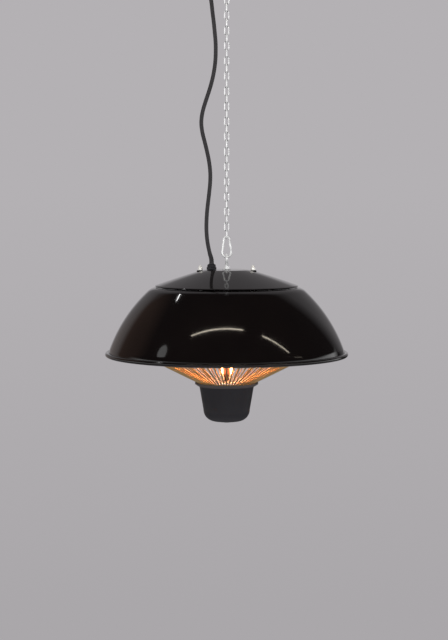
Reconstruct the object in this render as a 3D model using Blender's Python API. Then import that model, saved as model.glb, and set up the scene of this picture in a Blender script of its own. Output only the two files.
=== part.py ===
# Hanging patio heater: a gloss black spun shade over a cone of guard wires, with three upright
# quartz lamps round a centre post and a control cup below. It hangs by an eye bolt and a snap
# hook on a steel link chain from a ceiling hook. Lengths are in metres, +Z is up, and the
# origin is the centre of the ceiling plate's flat top, so the heater lies below it.
import math

import bmesh
import bpy
from mathutils import Vector

for old in list(bpy.data.objects):
    bpy.data.objects.remove(old, do_unlink=True)

# Gaps, cuts and roundness
clearance = 0.0003
pin_clearance = 0.0002
swing_clearance = 0.0005
overrun = 0.002
big_round_segments = 32
disc_segments = 24
rod_round_segments = 16
hole_segments = 12
boss_round_segments = 14
sharp_angle = math.radians(38)

# Ceiling plate and hook
plate_radius = 0.025
plate_thickness = 0.005
plate_skin = 0.0012
plate_screw_hole_radius = 0.0022
plate_screw_offset = 0.017
hook_wire_radius = 0.002
hook_bend_radius = 0.009
hook_entry_angle = math.radians(65)
hook_tip_angle = math.radians(200)
hook_neck_length = 0.0022
hook_collar_radius = 0.0055
hook_collar_height = 0.003
hook_sides = 8
hook_entry_steps = 3
hook_bowl_steps = 6
hook_tip_steps = 4

# Chain
link_count = 47
link_wire_radius = 0.0012
link_inner_width = 0.0047
link_inner_length = 0.01275
link_overlap = 0.00025
link_crown_steps = 3
end_link_crown_steps = 5
link_sides = 4
end_link_sides = 6

# Snap hook
snap_wire_radius = 0.002
snap_height = 0.0395
snap_top_width = 0.0135
snap_bottom_width = 0.0196
snap_sides = 8
snap_top_steps = 8
snap_bottom_steps = 10
tongue_thickness = 0.0016
tongue_half_width = 0.0016
gate_pin_radius = 0.0007
gate_pin_rise = 0.0032
gate_nose_length = 0.002

# Eye bolt and its fittings
eye_wire_radius = 0.00225
eye_mean_radius = 0.00775
eye_steps = 20
eye_shank_radius = 0.0025
eye_neck_length = 0.0036
eye_thread_depth = 0.014
eye_nut_flats = 0.008
eye_nut_height = 0.004
washer_radius = 0.0075
washer_thickness = 0.001
eye_spacer_radius = 0.0045

# Top cap
cap_radius = 0.125
cap_flat_radius = 0.037
cap_drop = 0.0275
cap_curve_power = 1.15
cap_sheet = 0.001
cap_steps = 4
cap_shadow_gap = 0.0015
stud_offset = 0.046
stud_radius = 0.002
stud_pad_radius = 0.0055
stud_pad_depth = 0.0036
dome_nut_flats = 0.007
dome_nut_skirt_height = 0.0035
dome_nut_height = 0.009
dome_nut_bore_depth = 0.006
dome_nut_steps = 3
stud_spacer_radius = 0.004
stud_nut_height = 0.0032

# Cord gland
gland_offset = 0.0263
gland_flats = 0.017
gland_base_height = 0.0042
gland_sleeve_radius = 0.006
gland_sleeve_length = 0.009
gland_locknut_flats = 0.016
gland_locknut_height = 0.003
gland_nut_radius = 0.0075
gland_nut_top_radius = 0.0052
gland_nut_height = 0.0055

# Shade
shade_deck_above_rim = 0.117
shade_neck_radius = 0.120
shade_shoulder_radius = 0.026
shade_shoulder_turn = math.radians(43)
shade_dome_radius = 0.2583
shade_sheet = 0.001
shade_deck_hole_radius = 0.032
bead_radius = 0.0037
bead_reach = 0.00427
bead_wall_rise = 0.0088
shoulder_steps = 2
dome_steps = 4
bead_open_angle = math.radians(150)
bead_steps = 6

# Bracket and terminal block on the deck
bracket_half_length = 0.060
bracket_half_width = 0.015
bracket_thickness = 0.002
terminal_size = (0.034, 0.016, 0.014)
terminal_offset = 0.048
terminal_screw_count = 3
terminal_screw_radius = 0.0028
terminal_screw_depth = 0.005

# Centre post, which steps outwards as it goes down to the lamps
post_top_radius = 0.0035
post_middle_radius = 0.004
post_lamp_radius = 0.0046
post_foot_radius = 0.004
post_foot_length = 0.014
reflector_above_rim = 0.098
post_nut_flats = 0.013
post_nut_height = 0.005

# Reflector
reflector_air_gap = 0.03053
reflector_rim_above_rim = 0.014
reflector_flange = 0.008
reflector_neck_radius = 0.028
reflector_sheet = 0.0008
reflector_steps = 4

# Lamps
lamp_count = 3
lamp_length = 0.1176
lamp_circle_radius = 0.0095
lamp_tube_radius = 0.0042
lamp_end_radius = 0.0046
lamp_end_length = 0.0094
lamp_end_neck_share = 0.8
lamp_plate_sheet = 0.0015
upper_plate_radius = 0.024
lower_plate_reach = 0.003
lamp_first_angle = math.radians(90)

# Wire guard
guard_wire_count = 60
guard_wire_width = 0.002
guard_lid_reach = 0.0068
guard_ring_width = 0.0045
guard_edge_reach = 0.002
guard_flange_gap = 0.00202
guard_lip_width = 0.018
guard_lip_slope = math.radians(35)
clip_count = 3
clip_width = 0.008
clip_sheet = 0.0012
clip_reach = 0.006
clip_grip = 0.0035

# Cup below the guard
lid_below_rim = 0.0515
lid_overhang = 0.0076
lid_edge_height = 0.0016
lid_chamfer = 0.0053
lid_thickness = 0.005
lid_wire_hole_radius = 0.004
lid_wire_hole_offset = 0.020
cup_top_radius = 0.0477
cup_side_height = 0.0415
cup_bottom_round = 0.020
cup_wall = 0.0022
cup_round_steps = 4
boss_radius = 0.0036
boss_length = 0.010
boss_embed = 0.00183
cup_screw_count = 3
cup_screw_radius = 0.0015
cup_screw_head_radius = 0.003
cup_screw_head_height = 0.0016
cup_screw_length = 0.012
board_drop = 0.030
board_thickness = 0.0016
board_switch_size = 0.007
board_switch_height = 0.004
button_radius = 0.007
button_stand = 0.0025
button_flange_radius = 0.0085
button_flange_height = 0.0015
button_stem_radius = 0.002
button_travel = 0.002
spring_wire_radius = 0.0004
spring_radius = 0.0057
spring_turns = 5
spring_points_per_turn = 8
lens_radius = 0.003
lens_gap = 0.0008
lens_edge_gap = 0.002945
lens_stand = 0.0012
lens_flange = 0.0012
lens_face_share = 0.8

# Power cord, its coil, tie and plug
cord_radius = 0.0035
cord_step_diameters = 2.5
coil_turns = 4.5
coil_pitch = 0.0076
coil_inner_radius = 0.0285
coil_points_per_turn = 24
coil_link = 3
coil_tail_length = 0.026
tie_width = 0.0036
tie_thickness = 0.0012
tie_corner_radius = 0.0045
tie_corner_steps = 4
plug_boot_length = 0.022
plug_boot_radius = 0.0048
plug_neck_radius = 0.0078
plug_body_radius = 0.0185
plug_body_length = 0.034
plug_face_rim = 0.0155
plug_pin_radius = 0.0024
plug_pin_length = 0.019
plug_pin_offset = 0.0095
plug_pin_seat = 0.006

# The cord's way up from the gland beside the chain: metres right of the chain, behind it, and
# above the shade's rim, chosen by eye
cord_route = [
    (-0.0255, 0.000, 0.169),
    (-0.0303, 0.000, 0.180),
    (-0.0352, 0.000, 0.195),
    (-0.0371, 0.000, 0.213),
    (-0.0368, 0.000, 0.236),
    (-0.0345, 0.000, 0.262),
    (-0.0308, 0.000, 0.289),
    (-0.0290, 0.000, 0.313),
    (-0.0303, 0.000, 0.337),
    (-0.0348, 0.000, 0.361),
    (-0.0402, 0.000, 0.382),
    (-0.0438, 0.000, 0.399),
    (-0.0440, 0.000, 0.413),
    (-0.0412, 0.000, 0.429),
    (-0.0350, 0.000, 0.448),
    (-0.0270, 0.000, 0.469),
    (-0.0207, 0.000, 0.491),
    (-0.0170, 0.000, 0.515),
    (-0.0160, 0.000, 0.541),
    (-0.0169, 0.000, 0.565),
    (-0.0195, 0.001, 0.593),
    (-0.0240, 0.002, 0.623),
    (-0.0310, 0.004, 0.652),
    (-0.0390, 0.006, 0.682),
    (-0.0443, 0.008, 0.708),
]

# Heights, worked out from the ceiling down
link_mean_radius = link_inner_width / 2 + link_wire_radius
link_pitch = link_inner_length + link_overlap
link_contact = link_inner_length / 2 + link_wire_radius
hook_arc_radius = hook_bend_radius * math.cos(hook_entry_angle) / (1 - math.cos(hook_entry_angle))
hook_collar_top = -plate_thickness - clearance
hook_shank_end = hook_collar_top - hook_collar_height - hook_neck_length
hook_centre_z = hook_shank_end - (hook_bend_radius + hook_arc_radius) * math.sin(hook_entry_angle)
saddle_z = hook_centre_z - hook_bend_radius
top_link_z = saddle_z + hook_wire_radius + clearance + link_wire_radius - link_contact
run_start_z = top_link_z - link_inner_length + swing_clearance
last_link_z = run_start_z - (link_count - 2) * link_pitch
snap_top_wire_z = last_link_z - link_contact + link_wire_radius + clearance + snap_wire_radius
snap_top_bend = snap_top_width / 2 - snap_wire_radius
snap_bottom_bend = snap_bottom_width / 2 - snap_wire_radius
snap_bottom_wire_z = snap_top_wire_z - snap_height + 2 * snap_wire_radius
snap_top_centre_z = snap_top_wire_z - snap_top_bend
snap_bottom_centre_z = snap_bottom_wire_z + snap_bottom_bend
eye_centre_z = (snap_bottom_wire_z + snap_wire_radius + swing_clearance + eye_wire_radius
                - eye_mean_radius)
eye_ring_bottom_z = eye_centre_z - eye_mean_radius - eye_wire_radius
eye_nut_top_z = eye_ring_bottom_z - eye_neck_length
washer_top_z = eye_nut_top_z - eye_nut_height - clearance
cap_top_z = washer_top_z - washer_thickness - clearance
deck_top_z = cap_top_z - cap_drop - cap_shadow_gap - cap_sheet
rim_z = deck_top_z - shade_deck_above_rim
bracket_top_z = deck_top_z - shade_sheet - clearance
post_top_z = bracket_top_z - bracket_thickness - clearance
reflector_z = rim_z + reflector_above_rim
lid_top_z = rim_z - lid_below_rim
guard_base_z = lid_top_z + clearance + guard_wire_width / 2
lower_plate_z = lid_top_z + 2 * clearance + guard_wire_width
lower_plate_top_z = lower_plate_z + lamp_plate_sheet
upper_plate_z = lower_plate_top_z + lamp_length + 2 * clearance
cup_top_z = lid_top_z - lid_thickness - clearance
cup_bottom_z = cup_top_z - cup_side_height - cup_bottom_round

# Radii of the cup and of what sits on it, worked out from the underside's button and lens
lens_flange_radius = lens_radius + lens_flange
lens_offset = button_flange_radius + lens_gap + lens_flange_radius
cup_flat_radius = lens_offset + lens_flange_radius + lens_edge_gap
cup_side_slope = (cup_top_radius - cup_flat_radius - cup_bottom_round) / cup_side_height
lid_radius = cup_top_radius + lid_overhang
lid_bottom_radius = lid_radius - lid_chamfer
guard_inner_radius = lid_radius - guard_lid_reach
lower_plate_radius = guard_inner_radius + lower_plate_reach
coil_middle_radius = coil_inner_radius + coil_pitch * (coil_turns - 1 / 2) / 4
coil_z = run_start_z - (coil_link - 2) * link_pitch - coil_middle_radius
coil_front_y = link_mean_radius + link_wire_radius + clearance + cord_radius
coil_back_y = coil_front_y + coil_pitch


def finish(name, colour, roughness, metallic=0.0, alpha=1.0):
    made = bpy.data.materials.new(name)
    made.use_nodes = True
    shader = made.node_tree.nodes["Principled BSDF"]
    shader.inputs["Base Color"].default_value = (*colour, 1.0)
    shader.inputs["Roughness"].default_value = roughness
    shader.inputs["Metallic"].default_value = metallic
    shader.inputs["Alpha"].default_value = alpha
    made.diffuse_color = (*colour, alpha)
    return made


zinc_steel = finish("zinc_plated_steel", (0.62, 0.62, 0.60), 0.3, 1.0)
black_enamel = finish("gloss_black_enamel", (0.012, 0.011, 0.011), 0.12)
black_plastic = finish("satin_black_plastic", (0.022, 0.021, 0.023), 0.42)
polished_aluminium = finish("polished_aluminium", (0.82, 0.82, 0.83), 0.15, 1.0)
quartz_glass = finish("quartz_glass", (0.95, 0.72, 0.50), 0.05, 0.0, 0.5)
white_ceramic = finish("white_ceramic", (0.80, 0.78, 0.74), 0.5)
guard_steel = finish("chromed_guard_wire", (0.55, 0.53, 0.50), 0.25, 1.0)
cord_rubber = finish("black_cord_rubber", (0.045, 0.043, 0.045), 0.55)
green_board = finish("green_circuit_board", (0.03, 0.16, 0.07), 0.45)
dark_lens = finish("dark_receiver_lens", (0.05, 0.01, 0.01), 0.08)
plated_brass = finish("nickel_plated_brass", (0.70, 0.68, 0.62), 0.22, 1.0)


# Each moving body hangs from an empty on its joint's axis
def pivot(name, place, parent=None):
    empty = bpy.data.objects.new(name, None)
    bpy.context.scene.collection.objects.link(empty)
    empty.location = Vector(place)
    if parent:
        empty.parent = parent["empty"]
        empty.location -= parent["world"]
    return {"empty": empty, "world": Vector(place)}


gate_lean = math.asin((snap_bottom_bend - snap_top_bend)
                      / (snap_top_centre_z - snap_bottom_centre_z))
gate_along = Vector((-math.sin(gate_lean), 0, math.cos(gate_lean)))
gate_out = Vector((math.cos(gate_lean), 0, math.sin(gate_lean)))
gate_foot = Vector((0, 0, snap_bottom_centre_z)) + snap_bottom_bend * gate_out
gate_run = (snap_top_centre_z - snap_bottom_centre_z) * math.cos(gate_lean)
gate_pin_place = gate_foot + gate_pin_rise * gate_along

ceiling = pivot("ceiling_origin", (0, 0, 0))
top_link_pivot = pivot("top_link_pivot", (0, 0, saddle_z), ceiling)
chain_pivot = pivot("chain_pivot", (0, 0, top_link_z - link_contact), top_link_pivot)
snap_pivot = pivot("snap_hook_pivot", (0, 0, last_link_z - link_contact), chain_pivot)
gate_pivot = pivot("gate_pivot", gate_pin_place, snap_pivot)
heater_pivot = pivot("heater_pivot", (0, 0, snap_bottom_wire_z), snap_pivot)
button_pivot = pivot("button_pivot", (0, 0, cup_bottom_z), heater_pivot)


def add(name, data, material, body, place=(0, 0, 0)):
    made = bpy.data.objects.new(name, data)
    bpy.context.scene.collection.objects.link(made)
    data.materials.append(material)
    made.parent = body["empty"]
    made.location = Vector(place) - body["world"]
    return made


def mesh_from(bm, name):
    bmesh.ops.recalc_face_normals(bm, faces=bm.faces)
    mesh = bpy.data.meshes.new(name)
    bm.to_mesh(mesh)
    bm.free()
    mesh.shade_smooth()
    mesh.set_sharp_from_angle(angle=sharp_angle)
    return mesh


# Turned forms: an outline of (radius, height) points, turned about the Z axis. An outline
# that starts and ends on the axis makes a solid body, and any other makes a ring.
def turn_into(bm, outline, segments, offset=(0, 0)):
    rings = []
    for radius, height in outline:
        count = 1 if radius == 0 else segments
        ring = []
        for step in range(count):
            angle = 2 * math.pi * step / segments
            ring.append(bm.verts.new((offset[0] + radius * math.cos(angle),
                                      offset[1] + radius * math.sin(angle), height)))
        rings.append(ring)
    pairs = list(zip(rings, rings[1:]))
    if len(rings[0]) > 1:
        pairs.append((rings[-1], rings[0]))
    for first, second in pairs:
        for step in range(segments):
            after = (step + 1) % segments
            corners = [first[step % len(first)], first[after % len(first)],
                       second[after % len(second)], second[step % len(second)]]
            face = []
            for corner in corners:
                if corner not in face:
                    face.append(corner)
            if len(face) > 2:
                bm.faces.new(face)


def turned(name, outline, material, body, segments, place=(0, 0, 0)):
    bm = bmesh.new()
    turn_into(bm, outline, segments)
    return add(name, mesh_from(bm, name), material, body, place)


def rod_outline(radius, low, high):
    return [(0, low), (radius, low), (radius, high), (0, high)]


def tube_outline(outer, inner, low, high):
    return [(outer, high), (outer, low), (inner, low), (inner, high)]


# The inner face of a sheet whose outer face is given, one sheet thickness to the right of
# the way that the outline runs
def sheet_outline(outer, thickness):
    inner = []
    for number, point in enumerate(outer):
        before = Vector(outer[max(number - 1, 0)])
        after = Vector(outer[min(number + 1, len(outer) - 1)])
        here = Vector(point)
        sides = [side.normalized() for side in (here - before, after - here) if side.length > 0]
        normal = sum((Vector((side.y, -side.x)) for side in sides), Vector((0, 0))).normalized()
        stretch = normal.dot(Vector((sides[0].y, -sides[0].x)))
        inner.append(tuple(here + normal * thickness / stretch))
    return outer + inner[::-1]


def arc(centre, radius, start, end, steps):
    return [(centre[0] + radius * math.cos(start + (end - start) * step / steps),
             centre[1] + radius * math.sin(start + (end - start) * step / steps))
            for step in range(steps + 1)]


def circle(centre, radius, sides, turn=0.0):
    return [(centre[0] + radius * math.cos(turn + 2 * math.pi * side / sides),
             centre[1] + radius * math.sin(turn + 2 * math.pi * side / sides))
            for side in range(sides)]


def hexagon(flats, turn=0.0):
    return circle((0, 0), flats / 2 / math.cos(math.pi / 6), 6, turn)


def rectangle(half_x, half_y):
    return [(-half_x, -half_y), (half_x, -half_y), (half_x, half_y), (-half_x, half_y)]


# A flat piece cut from plate: an outline with holes, between two heights
def plate_into(bm, outline, holes, low, high):
    edges = []
    for loop in [outline] + holes:
        corners = [bm.verts.new((x, y, low)) for x, y in loop]
        edges += [bm.edges.new(pair) for pair in zip(corners, corners[1:] + corners[:1])]
    bmesh.ops.triangle_fill(bm, edges=edges, use_beauty=True)
    raised = bmesh.ops.extrude_face_region(bm, geom=bm.faces[:])
    moved = [item for item in raised["geom"] if isinstance(item, bmesh.types.BMVert)]
    bmesh.ops.translate(bm, verts=moved, vec=(0, 0, high - low))


def plate(name, outline, holes, low, high, material, body, place=(0, 0, 0)):
    bm = bmesh.new()
    plate_into(bm, outline, holes, low, high)
    return add(name, mesh_from(bm, name), material, body, place)


# Bent wire that lies in one plane: a section of so many sides carried along a path. The flats
# of the section face in and out of the bend, and the section's half thickness is the radius.
def wire_into(bm, path, plane_normal, radius, sides, closed):
    path = [Vector(point) for point in path]
    corner_radius = radius / math.cos(math.pi / sides)
    first_angle = math.pi / sides if sides % 4 == 0 else 0.0
    rings = []
    for number, here in enumerate(path):
        before = path[number - 1] if number or closed else here
        after = path[(number + 1) % len(path)] if number + 1 < len(path) or closed else here
        arriving = (here - before).normalized()
        leaving = (after - here).normalized()
        along = (arriving + leaving).normalized()
        across = along.cross(plane_normal) / max(along.dot(arriving), along.dot(leaving))
        rings.append([bm.verts.new(here + corner_radius * (
            math.cos(first_angle + 2 * math.pi * side / sides) * plane_normal
            + math.sin(first_angle + 2 * math.pi * side / sides) * across))
            for side in range(sides)])
    pairs = list(zip(rings, rings[1:]))
    if closed:
        pairs.append((rings[-1], rings[0]))
    else:
        bm.faces.new(rings[0])
        bm.faces.new(rings[-1])
    for first, second in pairs:
        for side in range(sides):
            after = (side + 1) % sides
            bm.faces.new([first[side], first[after], second[after], second[side]])


def boolean(target, operation, bm, name):
    bmesh.ops.recalc_face_normals(bm, faces=bm.faces)
    mesh = bpy.data.meshes.new(name)
    bm.to_mesh(mesh)
    bm.free()
    tool = bpy.data.objects.new(name, mesh)
    bpy.context.scene.collection.objects.link(tool)
    tool.parent = target
    tool.hide_render = True
    tool.display_type = "WIRE"
    modifier = target.modifiers.new(name, "BOOLEAN")
    modifier.operation = operation
    modifier.object = tool
    return tool


def drill(target, name, holes, low, high):
    bm = bmesh.new()
    for x, y, radius in holes:
        turn_into(bm, rod_outline(radius, low, high), hole_segments, (x, y))
    boolean(target, "DIFFERENCE", bm, name)


x_axis = Vector((1, 0, 0))
y_axis = Vector((0, 1, 0))


# Ceiling plate: a disc with two screw holes and, from below, a blind bore for the hook. Its
# flat top is the face that meets the ceiling.
def build_ceiling_plate():
    holes = [circle((side * plate_screw_offset, 0), plate_screw_hole_radius, hole_segments)
             for side in (-1, 1)]
    disc = plate("ceiling_plate", circle((0, 0), plate_radius, disc_segments), holes,
                 -plate_thickness, 0, zinc_steel, ceiling)
    drill(disc, "hook_bore", [(0, 0, hook_wire_radius + clearance)],
          -plate_thickness - overrun, -plate_skin)


# Ceiling hook: a rod screwed into the plate up to its collar, bent into an open hook whose
# saddle is on the centre line
def build_ceiling_hook():
    straight = [(0, -plate_skin - clearance), (0, hook_shank_end)]
    entry = arc((hook_arc_radius, hook_shank_end), hook_arc_radius,
                math.pi, math.pi + hook_entry_angle, hook_entry_steps)
    centre = (0, hook_centre_z)
    bowl = arc(centre, hook_bend_radius, hook_entry_angle, -math.pi / 2, hook_bowl_steps)
    tip = arc(centre, hook_bend_radius, -math.pi / 2, -hook_tip_angle, hook_tip_steps)
    path = [(x, 0, z) for x, z in straight + entry[1:] + bowl[1:] + tip[1:]]
    bm = bmesh.new()
    wire_into(bm, path, y_axis, hook_wire_radius, hook_sides, False)
    hook = add("ceiling_hook", mesh_from(bm, "ceiling_hook"), zinc_steel, ceiling)
    collar = bmesh.new()
    turn_into(collar, rod_outline(hook_collar_radius, hook_collar_top - hook_collar_height,
                                  hook_collar_top), rod_round_segments)
    boolean(hook, "UNION", collar, "hook_collar")


# The two end links bear on thicker wire and turn on it, so they are drawn rounder
def link_path(centre_z, edge_on, steps):
    straight_half = link_contact - link_mean_radius * math.cos(math.pi / (2 * steps))
    upper = arc((0, straight_half), link_mean_radius, 0, math.pi, steps)
    lower = arc((0, -straight_half), link_mean_radius, math.pi, 2 * math.pi, steps)
    if edge_on:
        return [(0, side, centre_z + height) for side, height in upper + lower], x_axis
    return [(side, 0, centre_z + height) for side, height in upper + lower], y_axis


# Top link: it hangs on the hook and swings across it
def build_top_link():
    bm = bmesh.new()
    path, normal = link_path(top_link_z, True, end_link_crown_steps)
    wire_into(bm, path, normal, link_wire_radius, end_link_sides, True)
    add("chain_top_link", mesh_from(bm, "chain_top_link"), zinc_steel, top_link_pivot)


# Chain: welded links that alternate face-on and edge-on, each hanging in the one above and
# joined where they bear on each other
def build_chain():
    sets = {False: bmesh.new(), True: bmesh.new()}
    for number in range(2, link_count + 1):
        edge_on = number % 2 == 1
        last = number == link_count
        path, normal = link_path(run_start_z - (number - 2) * link_pitch, edge_on,
                                 end_link_crown_steps if last else link_crown_steps)
        wire_into(sets[edge_on], path, normal, link_wire_radius,
                  end_link_sides if last else link_sides, True)
    chain = add("chain", mesh_from(sets[False], "chain"), zinc_steel, chain_pivot)
    boolean(chain, "UNION", sets[True], "edge_on_links")


def box_into(bm, centre, along, across, out, half_sizes):
    corners = []
    for first in (-1, 1):
        for second in (-1, 1):
            for third in (-1, 1):
                corners.append(bm.verts.new(centre + first * half_sizes[0] * along
                                            + second * half_sizes[1] * across
                                            + third * half_sizes[2] * out))
    for face in ((0, 1, 3, 2), (4, 6, 7, 5), (0, 4, 5, 1), (2, 3, 7, 6), (0, 2, 6, 4),
                 (1, 5, 7, 3)):
        bm.faces.new([corners[number] for number in face])


# Snap hook body: round wire bent to a pear shape, open on the right where the gate closes it,
# with a flat tongue at the foot of the opening that carries the gate's pin
def build_snap_hook():
    nose = gate_foot + (gate_run - gate_nose_length) * gate_along
    top = arc((0, snap_top_centre_z), snap_top_bend, gate_lean, math.pi - gate_lean,
              snap_top_steps)
    bottom = arc((0, snap_bottom_centre_z), snap_bottom_bend, math.pi - gate_lean,
                 2 * math.pi + gate_lean, snap_bottom_steps)
    path = [tuple(nose)] + [(x, 0, z) for x, z in top + bottom]
    bm = bmesh.new()
    wire_into(bm, path, y_axis, snap_wire_radius, snap_sides, False)
    hook = add("snap_hook_body", mesh_from(bm, "snap_hook_body"), zinc_steel, snap_pivot)
    tongue_top = gate_pin_rise + tongue_half_width
    tongue = bmesh.new()
    box_into(tongue, Vector(gate_foot) + (tongue_top - snap_wire_radius) / 2 * gate_along,
             gate_along, y_axis, gate_out,
             ((tongue_top + snap_wire_radius) / 2, tongue_thickness / 2, tongue_half_width))
    boolean(hook, "UNION", tongue, "gate_tongue")
    pin_hole = bmesh.new()
    wire_into(pin_hole, [gate_pin_place - overrun * y_axis, gate_pin_place + overrun * y_axis],
              x_axis, gate_pin_radius + pin_clearance, snap_sides, False)
    boolean(hook, "DIFFERENCE", pin_hole, "tongue_pin_hole")


# Gate: a round bar with a slotted foot that straddles the tongue and turns on the pin
def build_gate():
    slot_half = tongue_thickness / 2 + clearance
    low = gate_foot + (gate_pin_rise - tongue_half_width) * gate_along
    high = gate_foot + (gate_run - gate_nose_length - clearance - pin_clearance) * gate_along
    bm = bmesh.new()
    wire_into(bm, [low, high], y_axis, snap_wire_radius, snap_sides, False)
    gate = add("snap_hook_gate", mesh_from(bm, "snap_hook_gate"), zinc_steel, gate_pivot)
    slot = bmesh.new()
    slot_reach = gate_pin_rise + tongue_half_width * 2
    box_into(slot, gate_foot + (slot_reach - overrun) / 2 * gate_along, gate_along, y_axis,
             gate_out, ((slot_reach + overrun) / 2, slot_half, snap_wire_radius + overrun))
    boolean(gate, "DIFFERENCE", slot, "gate_slot")
    hole = bmesh.new()
    wire_into(hole, [gate_pin_place - 2 * overrun * y_axis, gate_pin_place + 2 * overrun * y_axis],
              x_axis, gate_pin_radius + pin_clearance, snap_sides, False)
    boolean(gate, "DIFFERENCE", hole, "gate_pin_hole")


def build_gate_pin():
    bm = bmesh.new()
    wire_into(bm, [gate_pin_place - snap_wire_radius * y_axis,
                   gate_pin_place + snap_wire_radius * y_axis],
              x_axis, gate_pin_radius, snap_sides, False)
    add("snap_hook_pin", mesh_from(bm, "snap_hook_pin"), zinc_steel, snap_pivot)


# Eye bolt: a ring that stands edge-on to the front, on a threaded shank that goes down
# through the cap, the spacer and the bracket into the centre post
def build_eye_bolt():
    ring_path = [(0, y, z) for y, z in circle((0, eye_centre_z), eye_mean_radius, eye_steps,
                                              math.pi / 2)]
    bm = bmesh.new()
    wire_into(bm, ring_path, x_axis, eye_wire_radius, snap_sides, True)
    eye = add("eye_bolt", mesh_from(bm, "eye_bolt"), zinc_steel, heater_pivot)
    shank = bmesh.new()
    turn_into(shank, rod_outline(eye_shank_radius, post_top_z - eye_thread_depth + clearance,
                                 eye_centre_z - eye_mean_radius), rod_round_segments)
    boolean(eye, "UNION", shank, "eye_shank")


def build_eye_fittings():
    plate("eye_nut", hexagon(eye_nut_flats),
          [circle((0, 0), eye_shank_radius + clearance, rod_round_segments)],
          eye_nut_top_z - eye_nut_height, eye_nut_top_z, zinc_steel, heater_pivot)
    turned("eye_washer", tube_outline(washer_radius, eye_shank_radius + clearance,
                                      washer_top_z - washer_thickness, washer_top_z),
           zinc_steel, heater_pivot, disc_segments)
    turned("eye_spacer", tube_outline(eye_spacer_radius, eye_shank_radius + clearance,
                                      bracket_top_z + clearance,
                                      cap_top_z - cap_sheet - clearance),
           zinc_steel, heater_pivot, rod_round_segments)


def cap_height(radius):
    share = max(0.0, (radius - cap_flat_radius) / (cap_radius - cap_flat_radius))
    return cap_top_z - cap_drop * share ** cap_curve_power


stud_pad_top = cap_height(stud_offset - dome_nut_flats / 2) + clearance
stud_pad_bottom = stud_pad_top - stud_pad_depth


# Top cap: a pressed steel dish with a flat crown for the eye bolt and the gland, and a small
# flat pad under each dome nut
def build_cap():
    outer = [(eye_shank_radius + clearance, cap_top_z)]
    for step in range(cap_steps + 1):
        radius = cap_flat_radius + (cap_radius - cap_flat_radius) * step / cap_steps
        outer.append((radius, cap_height(radius)))
    cap = turned("top_cap", sheet_outline(outer, cap_sheet), black_enamel, heater_pivot,
                 big_round_segments)
    pads = bmesh.new()
    for side in (-1, 1):
        turn_into(pads, rod_outline(stud_pad_radius, stud_pad_bottom, stud_pad_top),
                  hole_segments, (side * stud_offset, 0))
    boolean(cap, "UNION", pads, "stud_pads")
    holes = bmesh.new()
    for side in (-1, 1):
        turn_into(holes, rod_outline(stud_radius + clearance, stud_pad_bottom - overrun,
                                     stud_pad_top + overrun),
                  hole_segments, (side * stud_offset, 0))
    turn_into(holes, rod_outline(gland_sleeve_radius + clearance,
                                 cap_top_z - cap_sheet - overrun, cap_top_z + overrun),
              rod_round_segments, (-gland_offset, 0))
    boolean(cap, "DIFFERENCE", holes, "cap_holes")


# Two studs stand on the bracket, go through the deck and a spacer each, and carry the cap
# under dome nuts
def build_cap_studs():
    stud_top = stud_pad_top + dome_nut_bore_depth
    stud_low = bracket_top_z - bracket_thickness - clearance - stud_nut_height
    for name, side in (("left", -1), ("right", 1)):
        place = (side * stud_offset, 0, 0)
        turned("cap_stud_" + name, rod_outline(stud_radius, stud_low, stud_top), zinc_steel,
               heater_pivot, rod_round_segments, place)
        turned("cap_spacer_" + name,
               tube_outline(stud_spacer_radius, stud_radius + clearance,
                            deck_top_z + clearance, stud_pad_bottom - clearance),
               zinc_steel, heater_pivot, rod_round_segments, place)
        plate("stud_nut_" + name, hexagon(dome_nut_flats),
              [circle((0, 0), stud_radius + clearance, rod_round_segments)],
              stud_low, stud_low + stud_nut_height, zinc_steel, heater_pivot, place)
        build_dome_nut("cap_nut_" + name, place)


def build_dome_nut(name, place):
    low = stud_pad_top + clearance
    bm = bmesh.new()
    plate_into(bm, hexagon(dome_nut_flats), [], low, low + dome_nut_skirt_height)
    nut = add(name, mesh_from(bm, name), plated_brass, heater_pivot, place)
    dome_radius = dome_nut_flats / 2 - clearance
    dome_rise = dome_nut_height - dome_nut_skirt_height
    dome = [(0, low + overrun), (dome_radius, low + overrun)]
    for step in range(dome_nut_steps):
        angle = math.pi / 2 * step / dome_nut_steps
        dome.append((dome_radius * math.cos(angle),
                     low + dome_nut_skirt_height + dome_rise * math.sin(angle)))
    dome.append((0, low + dome_nut_height))
    top = bmesh.new()
    turn_into(top, dome, hole_segments)
    boolean(nut, "UNION", top, name + "_dome")
    drill(nut, name + "_bore", [(0, 0, stud_radius + clearance)], low - overrun,
          low + dome_nut_bore_depth)


# Cord gland: a hexagonal body whose sleeve goes through the cap, and a domed nut on it that
# the cord leaves from
def build_gland():
    low = cap_top_z + clearance
    bm = bmesh.new()
    plate_into(bm, hexagon(gland_flats, math.pi / 6), [], low, low + gland_base_height)
    body = add("gland_body", mesh_from(bm, "gland_body"), black_plastic, heater_pivot,
               (-gland_offset, 0, 0))
    sleeve = bmesh.new()
    turn_into(sleeve, rod_outline(gland_sleeve_radius, low - gland_sleeve_length,
                                  low + overrun), rod_round_segments)
    boolean(body, "UNION", sleeve, "gland_sleeve")
    bottom = low + gland_base_height + clearance
    top = bottom + gland_nut_height
    lock_top = cap_top_z - cap_sheet - clearance
    plate("gland_locknut", hexagon(gland_locknut_flats),
          [circle((0, 0), gland_sleeve_radius + clearance, rod_round_segments)],
          lock_top - gland_locknut_height, lock_top, plated_brass, heater_pivot,
          (-gland_offset, 0, 0))
    shoulder = top - (gland_nut_radius - gland_nut_top_radius)
    turned("gland_nut", [(0, bottom), (gland_nut_radius, bottom), (gland_nut_radius, shoulder),
                         (gland_nut_top_radius, top), (0, top)],
           black_plastic, heater_pivot, rod_round_segments, (-gland_offset, 0, 0))
    return top


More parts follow.
